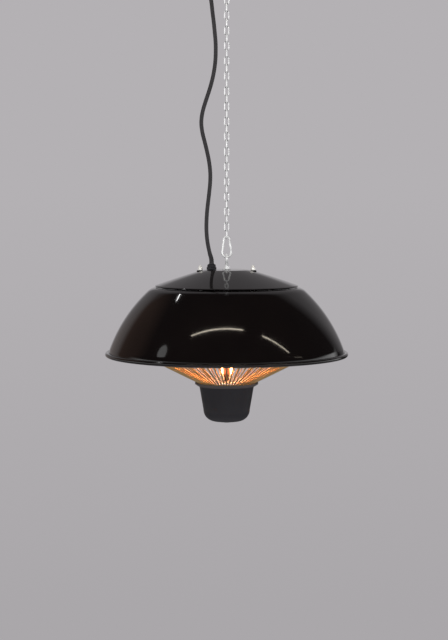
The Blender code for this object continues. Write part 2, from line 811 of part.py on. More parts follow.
# Shade: a spun steel dome. A flat deck turns over a small shoulder into one large arc, and
# the rim is rolled outwards into a bead.
def shade_profile():
    shoulder_centre = (shade_neck_radius, deck_top_z - shade_shoulder_radius)
    shoulder_end = math.pi / 2 - shade_shoulder_turn
    shoulder = arc(shoulder_centre, shade_shoulder_radius, math.pi / 2, shoulder_end,
                   shoulder_steps)
    reach = shade_dome_radius - shade_shoulder_radius
    dome_centre = (shoulder_centre[0] - reach * math.cos(shoulder_end),
                   shoulder_centre[1] - reach * math.sin(shoulder_end))
    wall_z = rim_z + bead_wall_rise
    dome = arc(dome_centre, shade_dome_radius, shoulder_end,
               math.asin((wall_z - dome_centre[1]) / shade_dome_radius), dome_steps)
    return [(shade_deck_hole_radius, deck_top_z)] + shoulder + dome[1:]


# The bead, the reflector's rim and the guard's edge take their radii from the shade's foot
shade_foot_radius = shade_profile()[-1][0]
bead_centre_radius = shade_foot_radius + bead_reach
reflector_rim_radius = shade_foot_radius - reflector_air_gap - reflector_flange
guard_outer_radius = reflector_rim_radius + guard_edge_reach
guard_bend_radius = guard_outer_radius - guard_lip_width


def build_shade():
    outer = shade_profile()
    both = sheet_outline(outer, shade_sheet)
    wall = outer[-1][0]
    bead = arc((bead_centre_radius, rim_z), bead_radius, bead_open_angle, -bead_open_angle,
               bead_steps)
    inner = both[len(outer):]
    inner_wall = inner[0][0]
    foot = [(inner_wall, bead[-1][1])]
    outline = outer + [(wall, bead[0][1] + bead_radius)] + bead + foot + inner
    shade = turned("shade", outline, black_enamel, heater_pivot, big_round_segments)
    drill(shade, "deck_stud_holes",
          [(side * stud_offset, 0, stud_radius + clearance) for side in (-1, 1)],
          deck_top_z - shade_sheet - overrun, deck_top_z + overrun)


# Hanger bracket: a steel strap across the hole in the deck, hung on the eye bolt
def build_bracket():
    holes = [circle((side * stud_offset, 0), stud_radius + clearance, hole_segments)
             for side in (-1, 1)]
    holes.append(circle((0, 0), eye_shank_radius + clearance, rod_round_segments))
    plate("hanger_bracket", rectangle(bracket_half_length, bracket_half_width), holes,
          bracket_top_z - bracket_thickness, bracket_top_z, zinc_steel, heater_pivot)


# Terminal block: it stands on the deck behind the eye bolt, with screw wells in its top
def build_terminal_block():
    low = deck_top_z + clearance
    high = low + terminal_size[2]
    wells = []
    pitch = terminal_size[0] / terminal_screw_count
    for number in range(terminal_screw_count):
        wells.append(((number - (terminal_screw_count - 1) / 2) * pitch, 0,
                      terminal_screw_radius))
    block = plate("terminal_block", rectangle(terminal_size[0] / 2, terminal_size[1] / 2), [],
                  low, high, white_ceramic, heater_pivot, (0, terminal_offset, 0))
    drill(block, "terminal_wells", wells, high - terminal_screw_depth, high + overrun)


# Reflector: a spun dish of polished aluminium under the deck, with a flat neck that rests on
# the post's upper step and a level flange at its rim
def build_reflector():
    neck = (reflector_neck_radius, reflector_z)
    rise = reflector_z - (rim_z + reflector_rim_above_rim)
    outer = [(post_top_radius + clearance, reflector_z)]
    for step in range(reflector_steps + 1):
        angle = math.pi / 2 * step / reflector_steps
        outer.append((neck[0] + (reflector_rim_radius - neck[0]) * math.sin(angle),
                      reflector_z - rise + rise * math.cos(angle)))
    outer.append((reflector_rim_radius + reflector_flange, reflector_z - rise))
    turned("reflector", sheet_outline(outer, reflector_sheet), polished_aluminium,
           heater_pivot, big_round_segments)


# Centre post: a stepped steel rod, bored for the eye bolt at its top. The steps seat the
# reflector, the upper lamp plate and, from below, the lower lamp plate.
def build_post():
    bore = eye_shank_radius + clearance
    reflector_step = reflector_z - reflector_sheet - clearance
    upper_step = upper_plate_z - clearance
    lower_step = lower_plate_top_z + clearance
    low = lid_top_z - post_foot_length
    outline = [(0, low), (post_foot_radius, low), (post_foot_radius, lower_step),
               (post_lamp_radius, lower_step), (post_lamp_radius, upper_step),
               (post_middle_radius, upper_step), (post_middle_radius, reflector_step),
               (post_top_radius, reflector_step), (post_top_radius, post_top_z),
               (bore, post_top_z), (bore, post_top_z - eye_thread_depth),
               (0, post_top_z - eye_thread_depth)]
    turned("centre_post", outline, zinc_steel, heater_pivot, rod_round_segments)
    nut_top = lid_top_z - lid_thickness - clearance
    plate("post_nut", hexagon(post_nut_flats),
          [circle((0, 0), post_foot_radius + clearance, rod_round_segments)],
          nut_top - post_nut_height, nut_top, zinc_steel, heater_pivot)


def lamp_places():
    for number in range(lamp_count):
        angle = lamp_first_angle + 2 * math.pi * number / lamp_count
        yield number + 1, (lamp_circle_radius * math.cos(angle),
                           lamp_circle_radius * math.sin(angle), 0)


# Lamps: a quartz tube between two ceramic ends, held upright between the lamp plates
def build_lamps():
    low = lower_plate_top_z + clearance
    high = low + lamp_length
    neck = lamp_end_radius * lamp_end_neck_share
    for number, place in lamp_places():
        turned(f"lamp_tube_{number}",
               rod_outline(lamp_tube_radius, low + lamp_end_length + clearance,
                           high - lamp_end_length - clearance),
               quartz_glass, heater_pivot, hole_segments, place)
        turned(f"lamp_end_lower_{number}",
               [(0, low), (neck, low), (lamp_end_radius, low + lamp_end_length / 2),
                (lamp_end_radius, low + lamp_end_length), (0, low + lamp_end_length)],
               white_ceramic, heater_pivot, hole_segments, place)
        turned(f"lamp_end_upper_{number}",
               [(0, high - lamp_end_length), (lamp_end_radius, high - lamp_end_length),
                (lamp_end_radius, high - lamp_end_length / 2), (neck, high), (0, high)],
               white_ceramic, heater_pivot, hole_segments, place)


def build_lamp_plates():
    turned("upper_lamp_plate",
           tube_outline(upper_plate_radius, post_middle_radius + clearance, upper_plate_z,
                        upper_plate_z + lamp_plate_sheet),
           polished_aluminium, heater_pivot, disc_segments)
    turned("lower_lamp_plate",
           tube_outline(lower_plate_radius, post_foot_radius + clearance, lower_plate_z,
                        lower_plate_top_z),
           polished_aluminium, heater_pivot, disc_segments)


# Wire guard: radial wires between an inner ring on the lid and an outer ring under the
# reflector's flange, modelled as a sheet of strips that is thickened to the wire's width
guard_ring_z = (rim_z + reflector_rim_above_rim - reflector_sheet - guard_flange_gap
                - guard_wire_width / 2)
guard_bend_z = guard_ring_z - ((guard_outer_radius - guard_ring_width - guard_bend_radius)
                               * math.tan(guard_lip_slope))


def build_guard():
    stations = [(guard_inner_radius, guard_base_z),
                (guard_inner_radius + guard_ring_width, guard_base_z),
                (guard_bend_radius, guard_bend_z),
                (guard_outer_radius - guard_ring_width, guard_ring_z),
                (guard_outer_radius, guard_ring_z)]
    bm = bmesh.new()
    rings = []
    for radius, height in stations:
        half = guard_wire_width / 2 / radius
        ring = []
        for number in range(guard_wire_count):
            middle = 2 * math.pi * number / guard_wire_count
            for angle in (middle - half, middle + half):
                ring.append(bm.verts.new((radius * math.cos(angle), radius * math.sin(angle),
                                          height)))
        rings.append(ring)
    ring_faces = (0, len(stations) - 2)
    for band, (first, second) in enumerate(zip(rings, rings[1:])):
        for step in range(len(first)):
            if band in ring_faces or step % 2 == 0:
                after = (step + 1) % len(first)
                bm.faces.new([first[step], first[after], second[after], second[step]])
    guard = add("wire_guard", mesh_from(bm, "wire_guard"), guard_steel, heater_pivot)
    wall = guard.modifiers.new("wire_thickness", "SOLIDIFY")
    wall.thickness = guard_wire_width
    wall.offset = 0.0
    wall.use_even_offset = True


# Guard clips: bent spring steel that grips the reflector's flange and the guard's outer ring
def build_guard_clips():
    flange_top = rim_z + reflector_rim_above_rim + clearance
    ring_low = guard_ring_z - guard_wire_width / 2 - clearance
    outer = reflector_rim_radius + reflector_flange + clearance
    outline = [(outer - clip_reach, flange_top), (outer, flange_top), (outer, ring_low),
               (guard_outer_radius - clip_grip, ring_low),
               (guard_outer_radius - clip_grip, ring_low - clip_sheet),
               (outer + clip_sheet, ring_low - clip_sheet),
               (outer + clip_sheet, flange_top + clip_sheet),
               (outer - clip_reach, flange_top + clip_sheet)]
    for number in range(clip_count):
        angle = math.pi / 2 + 2 * math.pi * (number + 0.5) / clip_count
        out = Vector((math.cos(angle), math.sin(angle), 0))
        side = Vector((-math.sin(angle), math.cos(angle), 0))
        bm = bmesh.new()
        corners = [bm.verts.new(out * radius - side * clip_width / 2 + Vector((0, 0, height)))
                   for radius, height in outline]
        face = bm.faces.new(corners)
        raised = bmesh.ops.extrude_face_region(bm, geom=[face])
        moved = [item for item in raised["geom"] if isinstance(item, bmesh.types.BMVert)]
        bmesh.ops.translate(bm, verts=moved, vec=side * clip_width)
        add(f"guard_clip_{number + 1}", mesh_from(bm, "guard_clip"), zinc_steel, heater_pivot)


def cup_inner_radius(height):
    return cup_top_radius - cup_side_slope * (cup_top_z - height) - cup_wall * math.sqrt(
        1 + cup_side_slope ** 2)


boss_offset = cup_inner_radius(cup_top_z - boss_length) + boss_embed - boss_radius


def screw_places():
    for number in range(cup_screw_count):
        angle = math.pi / 2 + 2 * math.pi * number / cup_screw_count
        yield number + 1, (boss_offset * math.cos(angle), boss_offset * math.sin(angle))


# Lid: the wide disc on top of the cup, clamped on the post, with a chamfered underside
def build_lid():
    high = lid_top_z
    low = lid_top_z - lid_thickness
    bore = post_foot_radius + clearance
    lid = turned("cup_lid", [(bore, high), (lid_radius, high),
                             (lid_radius, high - lid_edge_height), (lid_bottom_radius, low),
                             (bore, low)],
                 black_plastic, heater_pivot, disc_segments)
    cuts = bmesh.new()
    for number, (x, y) in screw_places():
        turn_into(cuts, rod_outline(cup_screw_radius + clearance, low - overrun,
                                    high + overrun), hole_segments, (x, y))
    turn_into(cuts, rod_outline(lid_wire_hole_radius, low - overrun, high + overrun),
              hole_segments, (0, -lid_wire_hole_offset))
    boolean(lid, "DIFFERENCE", cuts, "lid_holes")


def cup_profile():
    fillet = arc((cup_flat_radius, cup_bottom_z + cup_bottom_round), cup_bottom_round,
                 0, -math.pi / 2, cup_round_steps)
    return [(cup_top_radius, cup_top_z)] + fillet


button_hole_radius = button_radius + clearance


# Cup: a moulded shell with a rounded foot, three screw bosses inside its mouth, and holes for
# the button and the receiver lens in its flat underside
def build_cup():
    outline = sheet_outline(cup_profile() + [(button_hole_radius, cup_bottom_z)], cup_wall)
    outline[-1] = (cup_inner_radius(cup_top_z), cup_top_z)
    cup = turned("cup", outline, black_plastic, heater_pivot, disc_segments)
    bosses = bmesh.new()
    holes = bmesh.new()
    for number, (x, y) in screw_places():
        turn_into(bosses, rod_outline(boss_radius, cup_top_z - boss_length,
                                      cup_top_z - clearance), boss_round_segments, (x, y))
        turn_into(holes, rod_outline(cup_screw_radius + clearance, cup_top_z - boss_length
                                     + cup_wall, cup_top_z + overrun), hole_segments, (x, y))
    turn_into(holes, rod_outline(lens_radius + clearance, cup_bottom_z - overrun,
                                 cup_bottom_z + cup_wall + overrun), hole_segments,
              (lens_offset, 0))
    boolean(cup, "UNION", bosses, "cup_bosses")
    boolean(cup, "DIFFERENCE", holes, "cup_holes")


def build_cup_screws():
    seat = lid_top_z + clearance
    for number, (x, y) in screw_places():
        turned(f"cup_screw_{number}",
               [(0, seat - cup_screw_length), (cup_screw_radius, seat - cup_screw_length),
                (cup_screw_radius, seat), (cup_screw_head_radius, seat),
                (cup_screw_head_radius, seat + cup_screw_head_height),
                (0, seat + cup_screw_head_height)],
               zinc_steel, heater_pivot, hole_segments, (x, y, 0))


# Inside the cup: the control board sits in the taper, with a switch on its underside over
# the button
board_low_z = cup_top_z - board_drop
switch_low_z = board_low_z - board_switch_height
button_flange_low_z = cup_bottom_z + cup_wall + clearance
stem_top_z = switch_low_z - button_travel - clearance


def build_board():
    board = turned("control_board",
                   rod_outline(cup_inner_radius(board_low_z) - 2 * clearance, board_low_z,
                               board_low_z + board_thickness),
                   green_board, heater_pivot, disc_segments)
    switch = bmesh.new()
    plate_into(switch, rectangle(board_switch_size / 2, board_switch_size / 2), [],
               switch_low_z, board_low_z + board_thickness / 2)
    boolean(board, "UNION", switch, "board_switch")


# Power button: a cap that stands through the cup's underside, with a retaining flange and a
# stem up to the board's switch
def build_button():
    flange_high = button_flange_low_z + button_flange_height
    turned("power_button",
           [(0, cup_bottom_z - button_stand), (button_radius, cup_bottom_z - button_stand),
            (button_radius, button_flange_low_z), (button_flange_radius, button_flange_low_z),
            (button_flange_radius, flange_high), (button_stem_radius, flange_high),
            (button_stem_radius, stem_top_z), (0, stem_top_z)],
           black_plastic, button_pivot, rod_round_segments)


# Button spring: an open coil round the stem, between the button's flange and the board
def build_button_spring():
    low = button_flange_low_z + button_flange_height + clearance + spring_wire_radius
    high = board_low_z - clearance - spring_wire_radius
    curve = bpy.data.curves.new("button_spring", "CURVE")
    curve.dimensions = "3D"
    curve.bevel_depth = spring_wire_radius
    curve.bevel_resolution = 0
    curve.use_fill_caps = True
    count = spring_turns * spring_points_per_turn + 1
    spline = curve.splines.new("POLY")
    spline.points.add(count - 1)
    for number in range(count):
        angle = 2 * math.pi * number / spring_points_per_turn
        spline.points[number].co = (spring_radius * math.cos(angle),
                                    spring_radius * math.sin(angle),
                                    low + (high - low) * number / (count - 1), 1.0)
    add("button_spring", curve, zinc_steel, heater_pivot)


def build_lens():
    low = cup_bottom_z - lens_stand
    inside = cup_bottom_z + cup_wall + clearance
    turned("receiver_lens",
           [(0, low), (lens_radius * lens_face_share, low),
            (lens_radius, low + lens_stand / 2), (lens_radius, inside),
            (lens_flange_radius, inside), (lens_flange_radius, inside + lens_flange),
            (0, inside + lens_flange)],
           dark_lens, heater_pivot, hole_segments, (lens_offset, 0, 0))


# A smooth curve through points, with centripetal spacing, read at even steps along it
def smooth_route(points, step):
    points = [Vector(point) for point in points]
    ends = [2 * points[0] - points[1]] + points + [2 * points[-1] - points[-2]]
    fine = []
    for number in range(1, len(ends) - 2):
        before, start, end, after = ends[number - 1:number + 3]
        times = [0.0]
        for first, second in ((before, start), (start, end), (end, after)):
            times.append(times[-1] + math.sqrt((second - first).length))
        for count in range(12):
            now = times[1] + (times[2] - times[1]) * count / 12
            one = before.lerp(start, (now - times[0]) / (times[1] - times[0]))
            two = start.lerp(end, (now - times[1]) / (times[2] - times[1]))
            three = end.lerp(after, (now - times[2]) / (times[3] - times[2]))
            four = one.lerp(two, (now - times[0]) / (times[2] - times[0]))
            five = two.lerp(three, (now - times[1]) / (times[3] - times[1]))
            fine.append(four.lerp(five, (now - times[1]) / (times[2] - times[1])))
    fine.append(points[-1])
    total = sum((second - first).length for first, second in zip(fine, fine[1:]))
    count = round(total / step)
    read = [fine[0]]
    travelled = 0.0
    for first, second in zip(fine, fine[1:]):
        length = (second - first).length
        while len(read) < count and travelled + length >= total * len(read) / count:
            read.append(first.lerp(second, (total * len(read) / count - travelled) / length))
        travelled += length
    read.append(points[-1])
    return read, total


def cord_tube(name, points, body, resolution):
    curve = bpy.data.curves.new(name, "CURVE")
    curve.dimensions = "3D"
    curve.bevel_depth = cord_radius
    curve.bevel_resolution = resolution
    curve.use_fill_caps = True
    spline = curve.splines.new("POLY")
    spline.points.add(len(points) - 1)
    for number, point in enumerate(points):
        spline.points[number].co = (*point, 1.0)
    return add(name, curve, cord_rubber, body)


# The coil: one cord wound clockwise from its left side, spiralling in on the front layer,
# climbing back where it turns, and spiralling out behind, then down to the plug
def coil_points():
    count = round(coil_turns * coil_points_per_turn)
    middle = coil_turns / 2
    points = []
    for number in range(count + 1):
        turn = number / coil_points_per_turn
        radius = coil_inner_radius + coil_pitch * abs(turn - middle)
        climb = min(1.0, max(0.0, 2 * (turn - middle) + 1 / 2))
        share = climb * climb * (3 - 2 * climb)
        angle = math.pi - 2 * math.pi * turn
        points.append(Vector((radius * math.cos(angle),
                              coil_front_y + (coil_back_y - coil_front_y) * share,
                              coil_z + radius * math.sin(angle))))
    diameter = 2 * cord_radius
    lead_in = [points[0] - Vector((0, 0, diameter)), points[0] - Vector((0, 0, cord_radius))]
    tail_steps = round(coil_tail_length / diameter)
    tail = [points[-1] - Vector((0, 0, coil_tail_length * step / tail_steps))
            for step in range(1, tail_steps + 1)]
    return lead_in + points + tail


def least_gap(points, apart):
    least = None
    for number, point in enumerate(points):
        for other in range(number + apart, len(points)):
            reach = (points[other] - point).length - 2 * cord_radius
            least = reach if least is None else min(least, reach)
    return least


def build_cord(gland_top_z):
    coil = coil_points()
    print("coil's least gap to itself:", round(least_gap(coil, coil_points_per_turn // 2), 5))
    cord_tube("cord_coil", coil, chain_pivot, 1)
    diameter = 2 * cord_radius
    foot = Vector((-gland_offset, 0, gland_top_z + clearance))
    end = coil[0] - Vector((0, 0, clearance))
    start = [foot, foot + Vector((0, 0, diameter))]
    middle = [Vector((x, y, rim_z + z)) for x, y, z in cord_route]
    finish_run = [end - Vector((0, 0, diameter)), end]
    read, total = smooth_route(start[1:] + middle + finish_run[:1],
                               cord_step_diameters * diameter)
    print("free stretch:", round(total + 2 * diameter, 4))
    cord_tube("power_cord", [foot] + read + [end], chain_pivot, 2)
    return coil[-1]


# Tie: a flat cable tie that goes through two face-on links and round the coil's top
def build_tie():
    half_height = link_pitch
    front = -(link_mean_radius + link_wire_radius + clearance + tie_thickness / 2)
    back = coil_back_y + cord_radius + clearance + tie_thickness / 2
    centre_z = coil_z + coil_middle_radius
    corners = [((back - tie_corner_radius, centre_z + half_height - tie_corner_radius), 0),
               ((front + tie_corner_radius, centre_z + half_height - tie_corner_radius), 1),
               ((front + tie_corner_radius, centre_z - half_height + tie_corner_radius), 2),
               ((back - tie_corner_radius, centre_z - half_height + tie_corner_radius), 3)]
    loops = []
    for offset in (tie_thickness / 2, -tie_thickness / 2):
        loop = []
        for centre, quarter in corners:
            loop += arc(centre, tie_corner_radius + offset, math.pi / 2 * quarter,
                        math.pi / 2 * (quarter + 1), tie_corner_steps)
        loops.append(loop)
    bm = bmesh.new()
    sides = []
    for x in (-tie_width / 2, tie_width / 2):
        for loop in loops:
            sides.append([bm.verts.new((x, y, z)) for y, z in loop])
    outer_left, inner_left, outer_right, inner_right = sides
    for first, second in ((outer_left, outer_right), (outer_right, inner_right),
                          (inner_right, inner_left), (inner_left, outer_left)):
        for step in range(len(first)):
            after = (step + 1) % len(first)
            bm.faces.new([first[step], first[after], second[after], second[step]])
    add("coil_tie", mesh_from(bm, "coil_tie"), black_plastic, chain_pivot)


# Plug: a moulded body that hangs below the coil's tail, with a tapered boot and two pins
def build_plug(tail_end):
    top = -clearance
    boot_low = top - plug_boot_length
    body_low = boot_low - plug_body_length
    outline = [(0, body_low), (plug_face_rim, body_low),
               (plug_body_radius, body_low + overrun),
               (plug_body_radius, boot_low - plug_body_length / 3),
               (plug_neck_radius, boot_low), (plug_boot_radius, top), (0, top)]
    plug = turned("plug", outline, black_plastic, chain_pivot, disc_segments, tuple(tail_end))
    holes = bmesh.new()
    for side in (-1, 1):
        turn_into(holes, rod_outline(plug_pin_radius + clearance, body_low - overrun,
                                     body_low + plug_pin_seat), hole_segments,
                  (side * plug_pin_offset, 0))
    boolean(plug, "DIFFERENCE", holes, "pin_holes")
    for name, side in (("left", -1), ("right", 1)):
        place = tail_end + Vector((side * plug_pin_offset, 0, 0))
        low = body_low - plug_pin_length
        turned("plug_pin_" + name,
               [(0, low), (plug_pin_radius / 2, low), (plug_pin_radius, low + overrun),
                (plug_pin_radius, body_low + plug_pin_seat - clearance),
                (0, body_low + plug_pin_seat - clearance)],
               plated_brass, chain_pivot, hole_segments, tuple(place))


build_ceiling_plate()
build_ceiling_hook()
build_top_link()
build_chain()
build_snap_hook()
build_gate()
build_gate_pin()
build_eye_bolt()
build_eye_fittings()
build_cap()
build_cap_studs()
gland_top = build_gland()
build_shade()
build_bracket()
build_terminal_block()
build_reflector()
build_post()
build_lamps()
build_lamp_plates()
build_guard()
build_guard_clips()
build_lid()
build_cup()
build_cup_screws()
build_board()
build_button()
build_button_spring()
build_lens()
plug_place = build_cord(gland_top)
build_tie()
build_plug(plug_place)
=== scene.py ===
from math import asin, atan2, cos, degrees, pi, radians, sin, sqrt

import bpy
from mathutils import Matrix, Vector


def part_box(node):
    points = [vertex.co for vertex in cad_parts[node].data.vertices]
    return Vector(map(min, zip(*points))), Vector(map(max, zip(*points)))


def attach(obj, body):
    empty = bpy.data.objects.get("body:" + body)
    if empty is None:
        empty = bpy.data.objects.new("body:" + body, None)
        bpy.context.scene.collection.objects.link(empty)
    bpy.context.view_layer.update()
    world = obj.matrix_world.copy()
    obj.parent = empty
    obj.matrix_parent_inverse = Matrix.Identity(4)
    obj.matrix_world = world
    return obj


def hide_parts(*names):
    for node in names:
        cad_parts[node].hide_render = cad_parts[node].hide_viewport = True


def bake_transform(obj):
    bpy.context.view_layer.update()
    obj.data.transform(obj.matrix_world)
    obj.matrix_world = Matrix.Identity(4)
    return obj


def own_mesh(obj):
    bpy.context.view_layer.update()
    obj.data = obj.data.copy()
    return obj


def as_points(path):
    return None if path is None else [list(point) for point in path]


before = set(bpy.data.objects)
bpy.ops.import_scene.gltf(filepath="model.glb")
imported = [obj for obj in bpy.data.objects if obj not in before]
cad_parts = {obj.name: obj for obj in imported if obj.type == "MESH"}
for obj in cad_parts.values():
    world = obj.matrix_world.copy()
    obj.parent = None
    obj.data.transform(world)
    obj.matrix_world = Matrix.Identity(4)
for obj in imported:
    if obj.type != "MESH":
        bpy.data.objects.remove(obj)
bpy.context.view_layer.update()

# Camera. The heater is seen from about 3 m, square on and a little from above its rim, so that
# the cap's crown and the front of the guard both show.
view_rise = radians(4.44)
view_distance = 3.0
aim = Vector((-0.0046, 0, -0.7847))
bpy.ops.object.camera_add(
    location=aim + view_distance * Vector((0, -cos(view_rise), sin(view_rise))),
    rotation=(pi / 2 - view_rise, 0, 0))
camera = bpy.context.object
camera.data.lens = 96.6
camera.data.sensor_width = 36
bpy.context.scene.camera = camera


# Power cord. A round rubber-sheathed flex, 7 mm thick, that leaves the gland on the cap and
# wanders up beside the chain. What the view doesn't show is wound in a flat coil tied to the
# chain just above it, and ends in the plug. It comes in two lengths that meet by the snap hook.
cord_radius = 0.0035
gland_x = -0.0263
gland_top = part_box("gland_nut")[1].z
bead_radius = 0.0037
rim_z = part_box("shade")[0].z + bead_radius
cord_route = [  # x, y and height above the rim, read down the picture from the gland upwards
    (-0.027, 0, 0.167), (-0.0298, 0, 0.177), (-0.0332, 0, 0.194), (-0.035, 0, 0.212),
    (-0.0351, 0, 0.229), (-0.0341, 0, 0.247), (-0.0323, 0, 0.264), (-0.0303, 0, 0.281),
    (-0.0286, 0, 0.299), (-0.0285, 0, 0.316), (-0.0303, 0, 0.333), (-0.0336, 0, 0.35),
    (-0.0379, 0, 0.368), (-0.0421, 0, 0.385), (-0.0439, 0, 0.402), (-0.0419, 0, 0.419),
    (-0.0368, 0, 0.437), (-0.0311, 0, 0.454), (-0.026, 0, 0.471), (-0.0222, 0, 0.488),
    (-0.0198, 0, 0.505), (-0.0189, 0, 0.522), (-0.0191, 0, 0.539), (-0.0205, 0, 0.556),
    (-0.0223, 0, 0.574), (-0.0244, 0.001, 0.591), (-0.0266, 0.002, 0.61),
    (-0.0325, 0.004, 0.646), (-0.0395, 0.006, 0.68), (-0.0443, 0.008, 0.708)]
coil_turns = 4.5
coil_inner = 0.0285
coil_pitch = 0.0076
coil_front = 0.00855
coil_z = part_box("cord_coil")[1].z - coil_inner - coil_pitch * coil_turns / 2 - cord_radius
points_per_turn = 24
tail_length = 0.026


def linear(code):
    """A hex sRGB colour as linear red, green, blue and alpha."""
    shares = [int(code[at:at + 2], 16) / 255 for at in (1, 3, 5)]
    return [*(c / 12.92 if c <= 0.04045 else ((c + 0.055) / 1.055) ** 2.4 for c in shares), 1]


def add_node(owner, kind, inputs=(), feeds=None, **settings):
    """Adds a node. Its inputs are values, sockets or nodes, settings are its own fields, and
    feeds is the shader's socket that it drives. A node stands for its first output in use."""
    def output(source):
        return next(o for o in source.outputs if o.enabled) if hasattr(source, "outputs") \
            else source

    tree = owner.node_tree
    node = tree.nodes.new("ShaderNode" + kind)
    for field, value in settings.items():
        setattr(node, field, value)
    for socket, value in dict(inputs).items():
        if isinstance(value, (bpy.types.Node, bpy.types.NodeSocket)):
            tree.links.new(output(value), node.inputs[socket])
        else:
            node.inputs[socket].default_value = value
    if feeds:
        tree.links.new(output(node), tree.nodes["Principled BSDF"].inputs[feeds])
    return node


def vary(material, reading, socket, first, second):
    """Lets a reading run one of the shader's sockets between two values or two colours. For
    Normal it makes a fine relief of it, with its depth in metres and its strength."""
    if socket == "Normal":
        add_node(material, "Bump", {"Height": reading, "Distance": first, "Strength": second},
                 feeds=socket)
    elif isinstance(first, str):
        add_node(material, "Mix", {0: reading, 6: linear(first), 7: linear(second)},
                 feeds=socket, data_type="RGBA")
    else:
        add_node(material, "MapRange", {"Value": reading, "To Min": first, "To Max": second},
                 feeds=socket)


def new_material(name, colour, *patterns, **values):
    """A named finish with its constants on the shader's own sockets. A pattern is noise over one
    socket: the socket, the spots' size in metres, their detail and what vary runs between."""
    material = bpy.data.materials.new(name)
    material.use_nodes = True
    sockets = material.node_tree.nodes["Principled BSDF"].inputs
    sockets["Base Color"].default_value = linear(colour)
    for socket, value in values.items():
        sockets[socket.replace("_", " ")].default_value = value
    place = add_node(material, "TexCoord").outputs["Object"]
    for socket, size, detail, first, second in patterns:
        spots = add_node(material, "TexNoise", {"Vector": place, "Scale": 1 / size,
                                                "Detail": detail})
        vary(material, spots, socket, first, second)
    return material


def pick(*pieces):
    """Selects pieces, with the first as the active one."""
    bpy.ops.object.select_all(action="DESELECT")
    for piece in pieces:
        piece.select_set(True)
    bpy.context.view_layer.objects.active = pieces[0]


def settle(piece, body, slot, material, *stands_for, crease=34):
    """Puts a piece's place in its mesh, gives it its finish and hangs it on its body."""
    pick(piece)
    bpy.ops.object.transform_apply(location=True, rotation=True, scale=True)
    bpy.ops.object.shade_smooth_by_angle(angle=radians(crease))
    piece.data.materials.clear()
    piece.data.materials.append(material)
    if body:
        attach(piece, body)
    if stands_for:
        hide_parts(*stands_for)
    return piece


def smooth_through(points, steps):
    """A smooth line through the points, in short steps."""
    points = [Vector(p) for p in points]
    line = []
    for number in range(len(points) - 1):
        a, b, c, d = (points[max(0, min(len(points) - 1, number + k))] for k in (-1, 0, 1, 2))
        for step in range(steps):
            t = step / steps
            line.append(0.5 * (2 * b + (c - a) * t + (2 * a - 5 * b + 4 * c - d) * t ** 2
                               + (3 * b - a - 3 * c + d) * t ** 3))
    return line + [points[-1]]


def tube_along(name, line, radii):
    """A round tube along a line, with closed ends."""
    data = bpy.data.curves.new(name, "CURVE")
    data.dimensions = "3D"
    data.bevel_depth = 1.0
    data.bevel_resolution = 5
    data.use_fill_caps = True
    spline = data.splines.new("POLY")
    spline.points.add(len(line) - 1)
    for knot, place, radius in zip(spline.points, line, radii):
        knot.co = (*place, 1)
        knot.radius = radius
    piece = bpy.data.objects.new(name, data)
    bpy.context.scene.collection.objects.link(piece)
    pick(piece)
    bpy.ops.object.convert(target="MESH")
    return bpy.context.object


# Chloroprene rubber sheath, extruded: dull black-grey, a soft sheen along it, faint flow marks
# and a dusting of talc
rubber = new_material("extruded_rubber_sheath", "#302E30",
                      ("Roughness", 0.004, 2, 0.4, 0.58),
                      ("Base Color", 0.011, 4, "#2A282A", "#353335"),
                      ("Normal", 0.0008, 2, 0.00006, 0.4))

coil = []
for number in range(round(coil_turns * points_per_turn) + 1):
    turn = number / points_per_turn
    radius = coil_inner + coil_pitch * abs(turn - coil_turns / 2)
    climb = min(1, max(0, 2 * (turn - coil_turns / 2) + 0.5))
    angle = pi - 2 * pi * turn
    coil.append(Vector((radius * cos(angle),
                        coil_front + coil_pitch * climb * climb * (3 - 2 * climb),
                        coil_z + radius * sin(angle))))
entry = coil[0] - Vector((0, 0, 2 * cord_radius))
tail_end = coil[-1] - Vector((0, 0, tail_length))
rise = smooth_through([(gland_x, 0, gland_top - 0.004), (gland_x, 0, gland_top + 0.004)]
                      + [(x, y, rim_z + z) for x, y, z in cord_route]
                      + [entry - Vector((0, 0, 2 * cord_radius)), entry, coil[0]], 5)
line = rise[:-1] + coil + [coil[-1].lerp(tail_end, share / 4) for share in range(1, 5)]
split_drop = 0.0055
split_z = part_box("snap_hook_body")[1].z - split_drop
split = min(range(len(rise)), key=lambda at: abs(rise[at].z - split_z))
lower_line = line[:split + 1]
upper_line = line[split:]


def line_length(points):
    return sum((b - a).length for a, b in zip(points, points[1:]))


lower_cord = settle(tube_along("lower_cord", lower_line, [cord_radius] * len(lower_line)),
                    None, "cord_rubber", rubber, "power_cord", crease=60)
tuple(lower_line[-1])
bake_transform(lower_cord)
upper_cord = settle(tube_along("upper_cord", upper_line, [cord_radius] * len(upper_line)),
                    None, "cord_rubber", rubber, "cord_coil", crease=60)
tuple(upper_line[0])
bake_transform(upper_cord)
line_length(lower_line)
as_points(lower_line)


# Strain relief. A tapered rubber sleeve moulded on the flex where it leaves the gland, ribbed
# so that it bends evenly.
sleeve_low, sleeve_high = gland_top - 0.002, gland_top + 0.0215
sleeve_radius, sleeve_taper, groove_depth = 0.0043, 0.0006, 0.0002
sleeve_line = smooth_through([p for p in lower_line if sleeve_low < p.z < sleeve_high], 4)
sleeve_radii = []
for number in range(len(sleeve_line)):
    share = number / (len(sleeve_line) - 1)
    groove = groove_depth if number % 5 in (3, 4) and 0.1 < share < 0.95 else 0
    sleeve_radii.append(sleeve_radius - sleeve_taper * share - groove)
sleeve = settle(tube_along("strain_relief_sleeve", sleeve_line, sleeve_radii),
                None, "cord_rubber", rubber, crease=40)
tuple(lower_line[-1])
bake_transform(sleeve)


